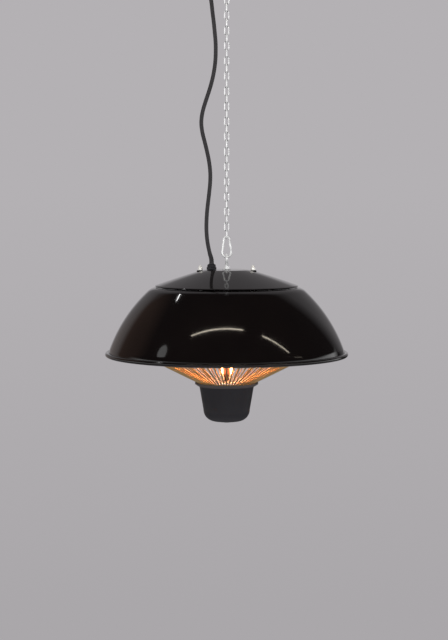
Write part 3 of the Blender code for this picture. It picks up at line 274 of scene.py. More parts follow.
# Ceiling plate. A turned disc of zinc-plated steel with a chamfered edge and a shallow seat for
# the hook's collar, screwed up to the ceiling through two countersunk holes.
def turned(name, profile, steps=48, x=0.0, y=0.0):
    """A profile of (radius, height) points drawn out vertex by vertex and spun round an axis."""
    bpy.ops.mesh.primitive_plane_add(size=0.01)
    piece = bpy.context.object
    piece.name = name
    bpy.ops.object.mode_set(mode="EDIT")
    bpy.ops.mesh.merge(type="CENTER")
    bpy.ops.transform.translate(value=(profile[0][0], 0, profile[0][1]))
    for (r0, z0), (r1, z1) in zip(profile, profile[1:]):
        bpy.ops.mesh.extrude_vertices_move(TRANSFORM_OT_translate={"value": (r1 - r0, 0, z1 - z0)})
    bpy.ops.mesh.select_all(action="SELECT")
    bpy.ops.mesh.remove_doubles(threshold=1e-6)
    bpy.ops.mesh.spin(steps=steps, angle=2 * pi, center=(0, 0, 0), axis=(0, 0, 1))
    bpy.ops.mesh.select_all(action="SELECT")
    bpy.ops.mesh.remove_doubles(threshold=1e-6)
    bpy.ops.mesh.normals_make_consistent(inside=False)
    bpy.ops.transform.translate(value=(x, y, 0))
    bpy.ops.object.mode_set(mode="OBJECT")
    return piece


def heights(box):
    """The lowest and the highest z of a box."""
    return (corner.z for corner in box)


def modified(piece, kind, **settings):
    """Adds a modifier to a piece and applies it."""
    pick(piece)
    bpy.ops.object.modifier_add(type=kind)
    modifier = piece.modifiers[-1]
    for field, value in settings.items():
        setattr(modifier, field, value)
    bpy.ops.object.modifier_apply(modifier=modifier.name)
    return piece


def cut(piece, cutter, operation="DIFFERENCE"):
    """Cuts one shape with another, which is then removed."""
    modified(piece, "BOOLEAN", operation=operation, object=cutter, solver="EXACT")
    bpy.data.objects.remove(cutter)
    return piece


# Bright zinc plating over steel, barrel-plated: a cool, slightly cloudy mirror with small pits
zinc = new_material("bright_zinc_plated_steel", "#FCFCFC",
                    ("Roughness", 0.0016, 3, 0.14, 0.26),
                    ("Normal", 0.0009, 2, 0.00003, 0.5), Metallic=0.35)

plate_low, plate_high = heights(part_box("ceiling_plate"))
disc_radius, seat_radius, seat_depth = 0.025, 0.0125, 0.0007
screw_x, hole_radius, sink_radius, sink_depth, beyond = 0.017, 0.0022, 0.0043, 0.0022, 0.001
plate = turned("ceiling_plate_disc", [
    (0, plate_high), (disc_radius - 0.0004, plate_high), (disc_radius, plate_high - 0.0004),
    (disc_radius, plate_low + 0.0015), (disc_radius - 0.0015, plate_low),
    (seat_radius, plate_low), (seat_radius - 0.001, plate_low + seat_depth),
    (0, plate_low + seat_depth)], 64)
for side in (-1, 1):
    cut(plate, turned("screw_hole", [
        (0, plate_high + beyond), (hole_radius, plate_high + beyond),
        (hole_radius, plate_low + sink_depth), (sink_radius, plate_low - 0.0001),
        (sink_radius, plate_low - beyond), (0, plate_low - beyond)], 24, x=side * screw_x))
settle(plate, "ceiling", "zinc_plated_steel", zinc, "ceiling_plate")


# Ceiling hook. A 4 mm steel wire hook, zinc-plated, open on one side for the chain's top link,
# with a turned collar riveted into the plate's seat.
def bent_wire(name, radius, start, moves, sides=14, lean=0.0, closed=False):
    """A round wire drawn out and bent in the front plane from a ring of vertices at start.
    A run is (dx, dz), a turn (centre x, centre z, degrees, steps), and a swell one number."""
    bpy.ops.mesh.primitive_circle_add(vertices=sides, radius=radius, fill_type="NOTHING",
                                      location=(start[0], 0, start[1]), rotation=(0, lean, 0))
    piece = bpy.context.object
    piece.name = name
    bpy.ops.object.transform_apply(location=True, rotation=True, scale=True)
    bpy.ops.object.mode_set(mode="EDIT")
    bpy.ops.mesh.select_all(action="SELECT")
    x, z = start
    for move in moves:
        if len(move) == 2:
            bpy.ops.mesh.extrude_edges_move(
                TRANSFORM_OT_translate={"value": (move[0], 0, move[1])})
            x, z = x + move[0], z + move[1]
        elif len(move) == 1:
            bpy.ops.transform.resize(value=(move[0],) * 3, center_override=(x, 0, z))
        else:
            cx, cz, turn, steps = move
            turn = radians(turn)
            bpy.ops.mesh.spin(steps=steps, angle=turn, center=(cx, 0, cz), axis=(0, 1, 0))
            dx, dz = x - cx, z - cz
            x = cx + dx * cos(turn) - dz * sin(turn)
            z = cz + dx * sin(turn) + dz * cos(turn)
    bpy.ops.mesh.select_all(action="SELECT")
    bpy.ops.mesh.remove_doubles(threshold=2e-6)
    if not closed:
        bpy.ops.mesh.fill_holes(sides=0)
    bpy.ops.mesh.normals_make_consistent(inside=False)
    bpy.ops.object.mode_set(mode="OBJECT")
    return piece


def rounded(piece, width, segments=2):
    """Breaks a piece's sharp edges."""
    return modified(piece, "BEVEL", width=width, segments=segments, limit_method="ANGLE",
                    angle_limit=radians(50))


def joined(*pieces):
    """Several shapes as one piece, named after the first."""
    pick(*pieces)
    bpy.ops.object.join()
    return bpy.context.object


hook_wire, bowl_radius, sweep_angle = 0.002, 0.009, 65
bowl_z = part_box("ceiling_hook")[0].z + hook_wire + bowl_radius
sweep = radians(sweep_angle)
sweep_x = bowl_radius * cos(sweep) / (1 - cos(sweep))
shank_start = plate_low + hook_wire
shank_end = bowl_z + (bowl_radius + sweep_x) * sin(sweep)
hook = bent_wire("ceiling_hook_wire", hook_wire, (0, shank_start), [
    (0, shank_end - shank_start), (sweep_x, shank_end, sweep_angle, 8), (0, bowl_z, -225, 30)])
hook = rounded(hook, 0.0009, segments=3)
collar_bore, collar_radius, collar_high = 0.0018, 0.0055, plate_low - 0.0003
collar = turned("hook_collar", [
    (collar_bore, collar_high), (collar_radius - 0.0004, collar_high),
    (collar_radius, collar_high - 0.0004), (collar_radius, collar_high - 0.0023),
    (collar_radius - 0.0009, collar_high - 0.003), (collar_bore, collar_high - 0.003),
    (collar_bore, collar_high)], 32)
settle(joined(hook, collar), "ceiling", "zinc_plated_steel", zinc, "ceiling_hook")


# Chain. Short-link zinc-plated chain of 2.4 mm wire. Each link is a wire bent round to an oval
# and butt-welded on one straight side, and stands a quarter turn from the next.
run_links, link_pitch = 46, 0.013
link_wire, link_bend, link_side = 0.0012, 0.00355, 0.004025
weld_off, weld_ramp, weld_width, weld_swell = 0.0034, 0.0004, 0.00045, 1.16
link = bent_wire("chain_top_link_wire", link_wire, (link_bend, -link_side), [
    (0, weld_off), (0, weld_ramp), (weld_swell,), (0, weld_width), (0, weld_ramp),
    (1 / weld_swell,), (0, weld_off), (0, link_side, 180, 9), (0, -2 * link_side),
    (0, -link_side, 180, 9)], sides=10, closed=True)
run_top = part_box("chain")[1].z - link_side - link_bend - link_wire
links = []
for number in range(run_links):
    copy = link.copy()
    copy.data = link.data.copy()
    copy.name = "chain_links"
    bpy.context.scene.collection.objects.link(copy)
    swing = radians(6 * sin(2.4 * number) + 90 * (number % 2))
    copy.data.transform(Matrix.Translation((0, 0, run_top - number * link_pitch))
                        @ Matrix.Rotation(swing, 4, "Z"))
    links.append(copy)
# The same plating, with painted shade in the crotches where link bears on link: grey half a
# # pitch from each link's middle and close to the chain's axis
chain_zinc_painted_shade = new_material("zinc_chain_painted_crotch_shade", "#FCFCFC",
                    ("Roughness", 0.0016, 3, 0.14, 0.26), Metallic=0.3)
place = add_node(chain_zinc_painted_shade, "TexCoord").outputs["Object"]
height = add_node(chain_zinc_painted_shade, "SeparateXYZ", {"Vector": place}).outputs["Z"]
in_links = add_node(chain_zinc_painted_shade, "Math", {0: height, 1: 1 / link_pitch, 2: -run_top / link_pitch},
                    operation="MULTIPLY_ADD")
off_middle = add_node(chain_zinc_painted_shade, "Math", {0: in_links, 1: 0.5}, operation="PINGPONG")
bearing = add_node(chain_zinc_painted_shade, "MapRange", {"Value": off_middle, "From Min": 0.38, "From Max": 0.46})
across = add_node(chain_zinc_painted_shade, "VectorMath", {0: place, 1: (1, 1, 0)}, operation="MULTIPLY")
off_axis = add_node(chain_zinc_painted_shade, "VectorMath", {0: across}, operation="LENGTH")
crotch = add_node(chain_zinc_painted_shade, "MapRange", {"Value": off_axis, "From Min": 0.0032, "From Max": 0.0022})
painted_shade = add_node(chain_zinc_painted_shade, "Math", {0: bearing, 1: crotch}, operation="MULTIPLY")
# painted shade: the crotch mask turns the plating dark grey where the links cross
vary(chain_zinc_painted_shade, painted_shade, "Base Color", "#FCFCFC", "#505154")
settle(joined(*links), "chain_run", "zinc_plated_steel", chain_zinc_painted_shade, "chain", crease=60)


# Top link. The chain's first link, of the same wire, that hangs free on the ceiling hook and
# swings on its own.
top_low, top_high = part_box("chain_top_link")
link.data.transform(Matrix.Translation((0, 0, (top_low.z + top_high.z) / 2))
                    @ Matrix.Rotation(pi / 2, 4, "Z"))
settle(link, "top_link", "zinc_plated_steel", zinc, "chain_top_link", crease=60)


# Snap hook. A pear-shaped hook bent from 4 mm zinc-plated wire, with a flat tongue pressed at
# its open end for the gate. It joins the chain's last link to the heater's eye.
def block(name, low, high, turn=0.0):
    """A box between two corners, turned about the line of sight round its middle."""
    bpy.ops.mesh.primitive_cube_add(size=1, location=(low + high) / 2, rotation=(0, turn, 0))
    piece = bpy.context.object
    piece.name = name
    piece.scale = high - low
    bpy.ops.object.transform_apply(location=True, rotation=True, scale=True)
    return piece


snap_low, snap_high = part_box("snap_hook_body")
snap_wire, top_bend, bottom_bend, nose_length = 0.002, 0.00475, 0.0078, 0.002
top_centre = snap_high.z - snap_wire - top_bend
bottom_centre = snap_low.z + snap_wire + bottom_bend
lean = asin((bottom_bend - top_bend) / (top_centre - bottom_centre))
along = Vector((-sin(lean), 0, cos(lean)))
gate_foot = Vector((bottom_bend * cos(lean), 0, bottom_centre + bottom_bend * sin(lean)))
gate_head = Vector((top_bend * cos(lean), 0, top_centre + top_bend * sin(lean)))
side_run = gate_foot - gate_head
nose = gate_head - nose_length * along
snap = bent_wire("snap_hook_wire", snap_wire, (nose.x, nose.z), [
    (nose_length * along.x, nose_length * along.z),
    (0, top_centre, 180 - 2 * degrees(lean), 20), (-side_run.x, side_run.z),
    (0, bottom_centre, 180 + 2 * degrees(lean), 28)], lean=-lean)
snap = rounded(snap, 0.0006)
tongue_middle, tongue_half = gate_foot + 0.0015 * along, Vector((0.0016, 0.0008, 0.0033))
tongue = rounded(block("gate_tongue", tongue_middle - tongue_half, tongue_middle + tongue_half,
                       -lean), 0.0004)
settle(joined(snap, tongue), "snap_hook", "zinc_plated_steel", zinc, "snap_hook_body", crease=50)


# Gate. A straight bar of the same wire, slotted over the tongue at its foot, that a spring in
# the slot holds against the hook's nose.
gate_low = gate_foot + 0.0017 * along
gate_run = gate_head - 0.0025 * along - gate_low
gate = rounded(bent_wire("snap_hook_gate_bar", snap_wire, (gate_low.x, gate_low.z),
                         [(gate_run.x, gate_run.z)], lean=-lean), 0.0005)
slot_middle, slot_half = gate_foot + 0.001 * along, Vector((0.004, 0.0011, 0.0055))
gate = cut(gate, block("gate_slot", slot_middle - slot_half, slot_middle + slot_half, -lean))
settle(gate, "gate", "zinc_plated_steel", zinc, "snap_hook_gate", crease=50)


# Gate pin. A small zinc-plated steel rivet through the gate's foot and the tongue, on which
# the gate turns.
pin_low, pin_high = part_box("snap_hook_pin")
rivet_radius, rivet_half = 0.0007, 0.002
pin = turned("gate_rivet", [
    (0, rivet_half), (rivet_radius - 0.0002, rivet_half), (rivet_radius, rivet_half - 0.0002),
    (rivet_radius, 0.0002 - rivet_half), (rivet_radius - 0.0002, -rivet_half),
    (0, -rivet_half)], 16)
pin.data.transform(Matrix.Translation((pin_low + pin_high) / 2)
                   @ Matrix.Rotation(pi / 2, 4, "X"))
settle(pin, "snap_hook", "zinc_plated_steel", zinc, "snap_hook_pin")


# Eye bolt. A closed eye bent from 4.5 mm bar on a threaded shank, which goes down through nut,
# washer, cap, spacer and bracket into the centre post and so carries the whole heater.
eye_low, eye_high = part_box("eye_bolt")
eye_bar, eye_bend = 0.00225, 0.00775
eye_z = eye_high.z - eye_bar - eye_bend
ring = bent_wire("eye_bolt_ring", eye_bar, (eye_bend, eye_z), [(0, eye_z, 360, 48)], closed=True)
ring.data.transform(Matrix.Rotation(pi / 2, 4, "Z"))
neck_z, shank_radius, thread_root, thread_pitch = eye_z - eye_bend, 0.0025, 0.00218, 0.0008
thread_top = neck_z - 0.0035
shank_profile = [(0, neck_z + 0.0006), (0.0031, neck_z + 0.0002), (0.0027, neck_z - 0.0024),
                 (shank_radius, thread_top)]
for number in range(int((thread_top - eye_low.z - 0.001) / thread_pitch)):
    crest = thread_top - number * thread_pitch
    shank_profile += [(thread_root, crest - 0.3 * thread_pitch),
                      (shank_radius, crest - 0.8 * thread_pitch)]
shank_profile += [(0.0021, eye_low.z), (0, eye_low.z)]
settle(joined(ring, turned("eye_shank", shank_profile, 24)), "heater", "zinc_plated_steel",
       zinc, "eye_bolt", crease=50)


# Eye bolt's nut. An M5 hexagon nut, zinc-plated, with the turned chamfers of a bought nut,
# run down the shank onto the washer.
def hex_block(name, flats, low, high, x=0.0, corners_front=False):
    """A hexagonal nut or body with turned chamfers on its corners."""
    corner = flats / sqrt(3)
    drop = 0.28 * (corner - flats / 2)
    bpy.ops.mesh.primitive_cylinder_add(vertices=6, radius=corner, depth=high - low,
                                        location=(x, 0, (low + high) / 2),
                                        rotation=(0, 0, 0 if corners_front else pi / 2))
    nut = bpy.context.object
    nut.name = name
    bpy.ops.object.transform_apply(location=True, rotation=True, scale=True)
    chamfer = turned("nut_chamfer", [
        (0, high), (flats * 0.49, high), (corner + 0.0001, high - 2 * drop),
        (corner + 0.0001, low + 2 * drop), (flats * 0.49, low), (0, low)], 48, x=x)
    return cut(nut, chamfer, "INTERSECT")


nut_low, nut_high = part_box("eye_nut")
settle(hex_block("eye_bolt_nut", 0.008, nut_low.z, nut_high.z), "heater", "zinc_plated_steel",
       zinc, "eye_nut")


# Washer. A zinc-plated steel washer under the nut, pressed from sheet, which rounds its upper
# edge.
washer_low, washer_high = heights(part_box("eye_washer"))
washer_radius, washer_bore = 0.0075, 0.0027
settle(turned("eye_bolt_washer", [
    (washer_bore, washer_low), (washer_radius - 0.0001, washer_low),
    (washer_radius, washer_low + 0.0002), (washer_radius, washer_high - 0.0003),
    (washer_radius - 0.0003, washer_high), (washer_bore, washer_high),
    (washer_bore, washer_low)], 48), "heater", "zinc_plated_steel", zinc, "eye_washer")


# Top cap. A shallow dish spun from 1 mm steel and stove-enamelled gloss black. It floats a few
# millimetres over the shade on two studs, each under a dome nut on a small pressed pad.
cap_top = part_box("top_cap")[1].z
cap_radius, cap_flat, cap_fall, cap_sheet, cap_bore = 0.125, 0.037, 0.0275, 0.001, 0.0028
stud_x = 0.046


def cap_height(radius):
    share = max(0.0, (radius - cap_flat) / (cap_radius - cap_flat))
    return cap_top - cap_fall * share ** 1.15


# Black vitreous enamel over steel, sprayed and fired: near black with a warm cast, a wet gloss,
# a very shallow orange peel, a little dust in the coat and faint wipe marks
enamel = new_material("gloss_black_enamel", "#0C0908",
                      ("Base Color", 0.05, 3, "#0A0707", "#100C0B"),
                      ("Normal", 0.006, 2, 0.00005, 0.25),
                      IOR=1.52, Coat_Weight=0.35, Coat_Roughness=0.04)
place = add_node(enamel, "TexCoord").outputs["Object"]
wipe = add_node(enamel, "Mapping", {"Vector": place, "Scale": (1, 1, 6)})
marks = add_node(enamel, "TexNoise", {"Vector": wipe, "Scale": 1 / 0.02, "Detail": 5})
vary(enamel, marks, "Roughness", 0.05, 0.11)

slope_end = cap_radius - 0.0006
cap_profile = [(cap_bore, cap_top)] + [
    (radius, cap_height(radius)) for radius in [cap_flat - 0.002] + [
        cap_flat + (slope_end - cap_flat) * step / 30 for step in range(31)]]
edge_z = cap_height(cap_radius)
cap_profile += [(cap_radius, edge_z - 0.0004), (cap_radius - 0.0003, edge_z - cap_sheet)]
cap_profile += [(radius, height - cap_sheet) for radius, height in cap_profile[-4:0:-1]]
cap_profile += [(cap_bore, cap_top - cap_sheet), (cap_bore, cap_top)]
cap = turned("top_cap_dish", cap_profile, 160)
pad_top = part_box("cap_nut_left")[0].z - 0.0003
pads = [turned("stud_pad", [
    (0, pad_top - 0.0034), (0.0064, pad_top - 0.0034), (0.006, pad_top - 0.0009),
    (0.0055, pad_top - 0.0002), (0.0051, pad_top), (0, pad_top)], 40, x=side * stud_x)
    for side in (-1, 1)]
settle(joined(cap, *pads), "heater", "gloss_black_enamel", enamel, "top_cap", crease=40)


# Dome nuts. Two closed M4 nuts, turned from hexagon brass bar and nickel-plated, that hold the
# cap down on its studs.
# Nickel plating: a warm, very bright plated mirror, a little hazed by handling
nickel = new_material("nickel_plated_brass", "#FBF8F2",
                      ("Roughness", 0.003, 3, 0.1, 0.24), Metallic=0.35)
nut_flats, skirt_height, dome_radius = 0.007, 0.0036, 0.0033
for name, side in (("left", -1), ("right", 1)):
    low, high = heights(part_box("cap_nut_" + name))
    skirt = hex_block("cap_dome_nut_" + name, nut_flats, low, low + skirt_height, x=side * stud_x)
    dome_foot = low + skirt_height + 0.0002
    dome = turned("nut_dome", [(0, low + 0.001), (dome_radius, low + 0.001)]
                  + [(dome_radius * cos(radians(a)),
                      dome_foot + (high - dome_foot) * sin(radians(a)))
                     for a in range(0, 90, 9)] + [(0, high)], 32, x=side * stud_x)
    settle(joined(skirt, dome), "heater", "nickel_plated_brass", nickel, "cap_nut_" + name)


# Cord gland. A moulded nylon body with a hexagonal flange on the cap and a threaded neck that
# goes down through it to a locknut.
# Black PA6 nylon, injection-moulded: satin, faintly mottled, with a fine spark-eroded grain,
# which is really about 0.1 mm and is drawn at 0.7 mm so that it shows
plastic = new_material("satin_black_plastic", "#28272A",
                       ("Roughness", 0.006, 3, 0.34, 0.46),
                       ("Base Color", 0.03, 3, "#232226", "#2D2C2F"),
                       ("Normal", 0.0007, 3, 0.00005, 0.35), IOR=1.5, Specular_IOR_Level=0.28)

body_low, body_high = heights(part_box("gland_body"))
flange_flats, flange_height, neck_radius = 0.017, 0.0042, 0.006
gland = hex_block("gland_hex_body", flange_flats, body_high - flange_height, body_high,
                  x=gland_x, corners_front=True)
neck = turned("gland_neck", [
    (0, body_low), (neck_radius - 0.0004, body_low), (neck_radius, body_low + 0.0006),
    (neck_radius, body_high - 0.004), (0, body_high - 0.004)], 32, x=gland_x)
settle(joined(gland, neck), "heater", "satin_black_plastic", plastic, "gland_body")


# Gland's dome nut. A round nylon nut with a rounded shoulder that squeezes a rubber ring onto
# the flex.
def arc(centre, radius, start, end, steps):
    """Points of an arc in (radius, height), angles in degrees."""
    angles = [radians(start + (end - start) * step / steps) for step in range(steps + 1)]
    return [(centre[0] + radius * cos(a), centre[1] + radius * sin(a)) for a in angles]


nut_low, nut_high = heights(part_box("gland_nut"))
nut_radius, round_z = 0.0075, nut_low + 0.0026
dome_nut = turned("gland_dome_nut", [
    (0, nut_low), (nut_radius - 0.0005, nut_low), (nut_radius, nut_low + 0.0004),
    (nut_radius, round_z - 0.0004), (nut_radius - 0.0003, round_z)]
    + arc((0.0048, round_z), 0.0024, 0, 82, 8)
    + [(0.0049, nut_high - 0.0002), (0.0047, nut_high), (0.0038, nut_high),
       (0.0036, nut_high - 0.0012), (0, nut_high - 0.0012)], 48, x=gland_x)
settle(dome_nut, "heater", "satin_black_plastic", plastic, "gland_nut")


# Shade. A dome 425 mm across spun from 1 mm steel and enamelled gloss black: a flat deck under
# the cap, a tight shoulder, one large arc down the side, and a rim rolled into a bead.
deck_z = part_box("shade")[1].z
deck_bore, deck_radius, shade_sheet = 0.032, 0.12, 0.001
shoulder_radius, dome_arc, dome_start = 0.026, 0.2583, 47
shoulder_centre = (deck_radius, deck_z - shoulder_radius)
dome_reach = dome_arc - shoulder_radius
dome_centre = (deck_radius - dome_reach * cos(radians(dome_start)),
               shoulder_centre[1] - dome_reach * sin(radians(dome_start)))
foot_turn = degrees(asin((rim_z + 0.0088 - dome_centre[1]) / dome_arc))
outer = [(deck_bore, deck_z), (0.06, deck_z), (0.09, deck_z)] \
    + arc(shoulder_centre, shoulder_radius, 90, dome_start, 10) \
    + arc(dome_centre, dome_arc, dome_start, foot_turn, 40)[1:]
inner = [(deck_bore, deck_z - shade_sheet), (0.09, deck_z - shade_sheet)] \
    + arc(shoulder_centre, shoulder_radius - shade_sheet, 90, dome_start, 6) \
    + arc(dome_centre, dome_arc - shade_sheet, dome_start, foot_turn, 24)[1:]
foot = outer[-1][0]
bead = arc((foot + 0.00427, rim_z), bead_radius, 150, -150, 20)
shade_profile = outer + [(foot + 0.0006, rim_z + 0.005), (foot + 0.0011, rim_z + 0.003)] \
    + bead + [(foot - 0.0002, rim_z - 0.0005), (foot - 0.0006, rim_z + 0.004)] \
    + inner[::-1] + [outer[0]]
settle(turned("enamelled_shade", shade_profile, 200), "heater", "gloss_black_enamel", enamel,
       "shade", crease=40)


# Hidden hardware. Spacers, studs, nuts, bracket, lamp plates, clips, screws, the gland's
# locknut and the terminal block: plain pressed, turned and moulded parts that the cap, shade
# and cup hide, or that show only from below. They keep the shapes that the frame has.
def refinish(name, material):
    """Gives a solid of the frame its finish, and leaves its shape."""
    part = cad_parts[name]
    part.data.materials.clear()
    part.data.materials.append(material)
    return part


for name in ("eye_spacer", "cap_spacer_left", "cap_spacer_right", "cap_stud_left",
             "cap_stud_right", "stud_nut_left", "stud_nut_right", "hanger_bracket", "post_nut",
             "upper_lamp_plate", "lower_lamp_plate", "guard_clip_1", "guard_clip_2",
             "guard_clip_3", "cup_screw_1", "cup_screw_2", "cup_screw_3"):
    refinish(name, zinc)
refinish("gland_locknut", nickel)
refinish("terminal_block", plastic)


# Reflector. A deep dish spun from 0.8 mm aluminium and polished, hung under the deck, that
# throws the lamps' heat down through the guard. Its flat flange carries the guard's clips.
# Polished aluminium: a bright, slightly smeared mirror with faint turning rings
aluminium = new_material("polished_aluminium", "#E9E9EA", Metallic=1.0)
place = add_node(aluminium, "TexCoord").outputs["Object"]
across = add_node(aluminium, "VectorMath", {0: place, 1: (1, 1, 0)}, operation="MULTIPLY")
off_axis = add_node(aluminium, "VectorMath", {0: across}, operation="LENGTH")
rings = add_node(aluminium, "TexNoise", {"W": off_axis, "Scale": 700, "Detail": 2},
                 noise_dimensions="1D")
vary(aluminium, rings, "Roughness", 0.14, 0.3)
vary(aluminium, rings, "Normal", 0.00004, 0.4)

dish_low, dish_high = heights(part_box("reflector"))
dish_sheet, dish_bore, dish_flat, dish_rim, dish_depth = 0.0008, 0.0045, 0.028, 0.166, 0.084
flange_radius = 0.174
dish = [(dish_flat + (dish_rim - dish_flat) * sin(radians(a)),
         dish_low + dish_sheet + dish_depth * cos(radians(a)))
        for a in range(0, 91, 3)]
top_side = [(dish_bore, dish_high), (0.012, dish_high)] + dish \
    + [(dish_rim + 0.0008, dish_low + dish_sheet), (flange_radius - 0.0006, dish_low + dish_sheet),
       (flange_radius, dish_low + 0.0004)]
under_side = [(flange_radius - 0.0006, dish_low), (dish_rim, dish_low)] \
    + [(r - dish_sheet * sin(radians(3 * n)),
        z - dish_sheet * cos(radians(3 * n)))
       for n, (r, z) in enumerate(dish)][::-1][1:] \
    + [(0.012, dish_high - dish_sheet), (dish_bore, dish_high - dish_sheet)]
settle(turned("reflector_dish", top_side + under_side + [top_side[0]], 160), "heater",
       "polished_aluminium", aluminium, "reflector", crease=40)


# Centre post. A steel rod turned in steps: it screws on the eye bolt at the top and carries
# reflector, lamp plates and lid on the way down to the nut inside the cup.
# Plain turned steel, browned by the heat: a dull red-brown oxide over a faint metallic sheen
oxide = new_material("heat_browned_steel", "#54352C",
                     ("Roughness", 0.003, 3, 0.4, 0.6),
                     ("Base Color", 0.008, 3, "#432A24", "#654238"), Metallic=0.6)
post_low, post_high = heights(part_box("centre_post"))
end_radius, step_radius, rod_radius = 0.0035, 0.004, 0.0046
settle(turned("centre_post_rod", [
    (0, post_high), (end_radius - 0.0004, post_high), (end_radius, post_high - 0.0005),
    (end_radius, dish_high + 0.0004), (step_radius, dish_high + 0.0003),
    (step_radius, dish_high - 0.026), (rod_radius, dish_high - 0.0275),
    (rod_radius, post_low + 0.0185), (step_radius, post_low + 0.018),
    (step_radius, post_low + 0.0005), (end_radius, post_low), (0, post_low)], 32),
    "heater", "zinc_plated_steel", oxide, "centre_post")


# Lamps. Three halogen tubes of clear quartz stand round the post between the two lamp plates,
# each with a wound tungsten filament and a pressed ceramic cap at either end.
# Clear fused quartz: hardly there but for its highlights, the filament shows straight through
quartz = new_material("clear_quartz", "#FFEFDF", ("Roughness", 0.01, 2, 0.02, 0.08),
                      IOR=1.46, Alpha=0.07)
# Tungsten at about 2000 K: an orange white, far brighter along the middle of the tube than at
# the lower end, which is all that shows under the shade
tungsten = new_material("glowing_tungsten", "#FF9A4C",
                        ("Emission Color", 0.006, 2, "#FF9C54", "#FFB478"), Roughness=0.6)
place = add_node(tungsten, "TexCoord").outputs["Object"]
height = add_node(tungsten, "SeparateXYZ", {"Vector": place}).outputs["Z"]
heat = add_node(tungsten, "MapRange", {"Value": height, "From Min": -0.872, "From Max": -0.856})
vary(tungsten, heat, "Emission Strength", 45.0, 90.0)
# Steatite, pressed and fired: chalk white, dull, lightly speckled
ceramic = new_material("fired_steatite", "#E9E2D4",
                       ("Base Color", 0.0012, 3, "#DED6C6", "#F0EADF"),
                       ("Normal", 0.0008, 2, 0.00005, 0.5), Roughness=0.55)

tube_round, tube_wall, tube_flat, tube_bore = 0.0012, 0.0009, 0.003, 0.0033
windings, winding_inner, winding_outer, winding_half = 44, 0.0012, 0.0018, 0.0008
base_radius, pinch_radius = 0.0046, 0.0037
for number in (1, 2, 3):
    low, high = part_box(f"lamp_tube_{number}")
    x, y = (low.x + high.x) / 2, (low.y + high.y) / 2
    tube = turned(f"quartz_tube_{number}", [(0, high.z), (tube_flat, high.z)]
                  + arc((tube_flat, high.z - tube_round), tube_round, 90, 0, 5)[1:]
                  + arc((tube_flat, low.z + tube_round), tube_round, 0, -90, 5)
                  + [(0, low.z), (0, low.z + tube_wall), (tube_bore, low.z + tube_wall),
                     (tube_bore, high.z - tube_wall), (0, high.z - tube_wall)], 32, x=x, y=y)
    settle(tube, "heater", "quartz_glass", quartz, f"lamp_tube_{number}")
    wound_low, wound_high = low.z + 0.002, high.z - 0.002
    filament = [(0, wound_low)]
    for winding in range(windings):
        height = wound_low + (wound_high - wound_low) * (winding + 0.5) / windings
        filament += [(winding_inner, height - winding_half), (winding_outer, height),
                     (winding_inner, height + winding_half)]
    settle(turned(f"lamp_filament_{number}", filament + [(0, wound_high)], 12, x=x, y=y),
           "heater", "quartz_glass", tungsten)
    for end, up in (("upper", 1), ("lower", -1)):
        low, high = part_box(f"lamp_end_{end}_{number}")
        base, top = (high.z, low.z) if up == 1 else (low.z, high.z)
        settle(turned(f"ceramic_end_{end}_{number}", [
            (0, base), (base_radius - 0.0003, base), (base_radius, base - up * 0.0003),
            (base_radius, base + (top - base) * 0.62),
            (base_radius - 0.0002, base + (top - base) * 0.66),
            (pinch_radius, base + (top - base) * 0.7), (pinch_radius, top + up * 0.0002),
            (0, top)], 28, x=x, y=y), "heater", "white_ceramic", ceramic,
            f"lamp_end_{end}_{number}")


# Wire guard. Bright-plated steel wires run from a small ring under the lamps out to a ring
# inside the shade, each bent up near its end, and are spot-welded to both rings.
# Chromed steel wire: a hard bright mirror, yellowed and dulled by the lamps' heat
chrome = new_material("heat_tinted_chromed_wire", "#CCAA72",
                      ("Roughness", 0.03, 3, 0.32, 0.46),
                      ("Base Color", 0.03, 3, "#BC965E", "#D9BC86"), Metallic=0.75)
guard_low, guard_high = heights(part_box("wire_guard"))
guard_wires, wire_radius = 72, 0.0012
inner_ring, bend_radius, lip_radius, outer_ring = 0.0507, 0.15, 0.1635, 0.1658
base_z, lip_z = guard_low + wire_radius + 0.0001, guard_high - wire_radius - 0.0001
bend_z = rim_z + 0.0007
start_x, start_z = inner_ring - 0.0015, base_z - 0.0003
fall = atan2(bend_z - base_z, bend_radius - inner_ring)
wires = bent_wire("guard_wires", wire_radius, (start_x, start_z), [
    (bend_radius - start_x, bend_z - start_z), (lip_radius - bend_radius, lip_z - bend_z),
    (0.0022, 0.0)], sides=8, lean=pi / 2 - fall)
bpy.ops.object.mode_set(mode="EDIT")
bpy.ops.mesh.select_all(action="SELECT")
bpy.ops.mesh.spin(dupli=True, steps=guard_wires - 1,
                  angle=2 * pi * (guard_wires - 1) / guard_wires,
                  center=(0, 0, 0), axis=(0, 0, 1))
bpy.ops.object.mode_set(mode="OBJECT")
rings = []
for radius, height, bar in ((inner_ring, base_z, 0.0021), (outer_ring, lip_z, 0.0019)):
    rings.append(turned("guard_ring", arc((radius, height), bar, 0, 360, 12)[:-1]
                        + [(radius + bar, height)], 128))
    rings[-1].data.transform(Matrix.Translation((0, 0, height)) @ Matrix.Diagonal((1, 1, 0.5, 1))
                             @ Matrix.Translation((0, 0, -height)))
settle(joined(wires, *rings), "heater", "chromed_guard_wire", chrome, "wire_guard", crease=60)
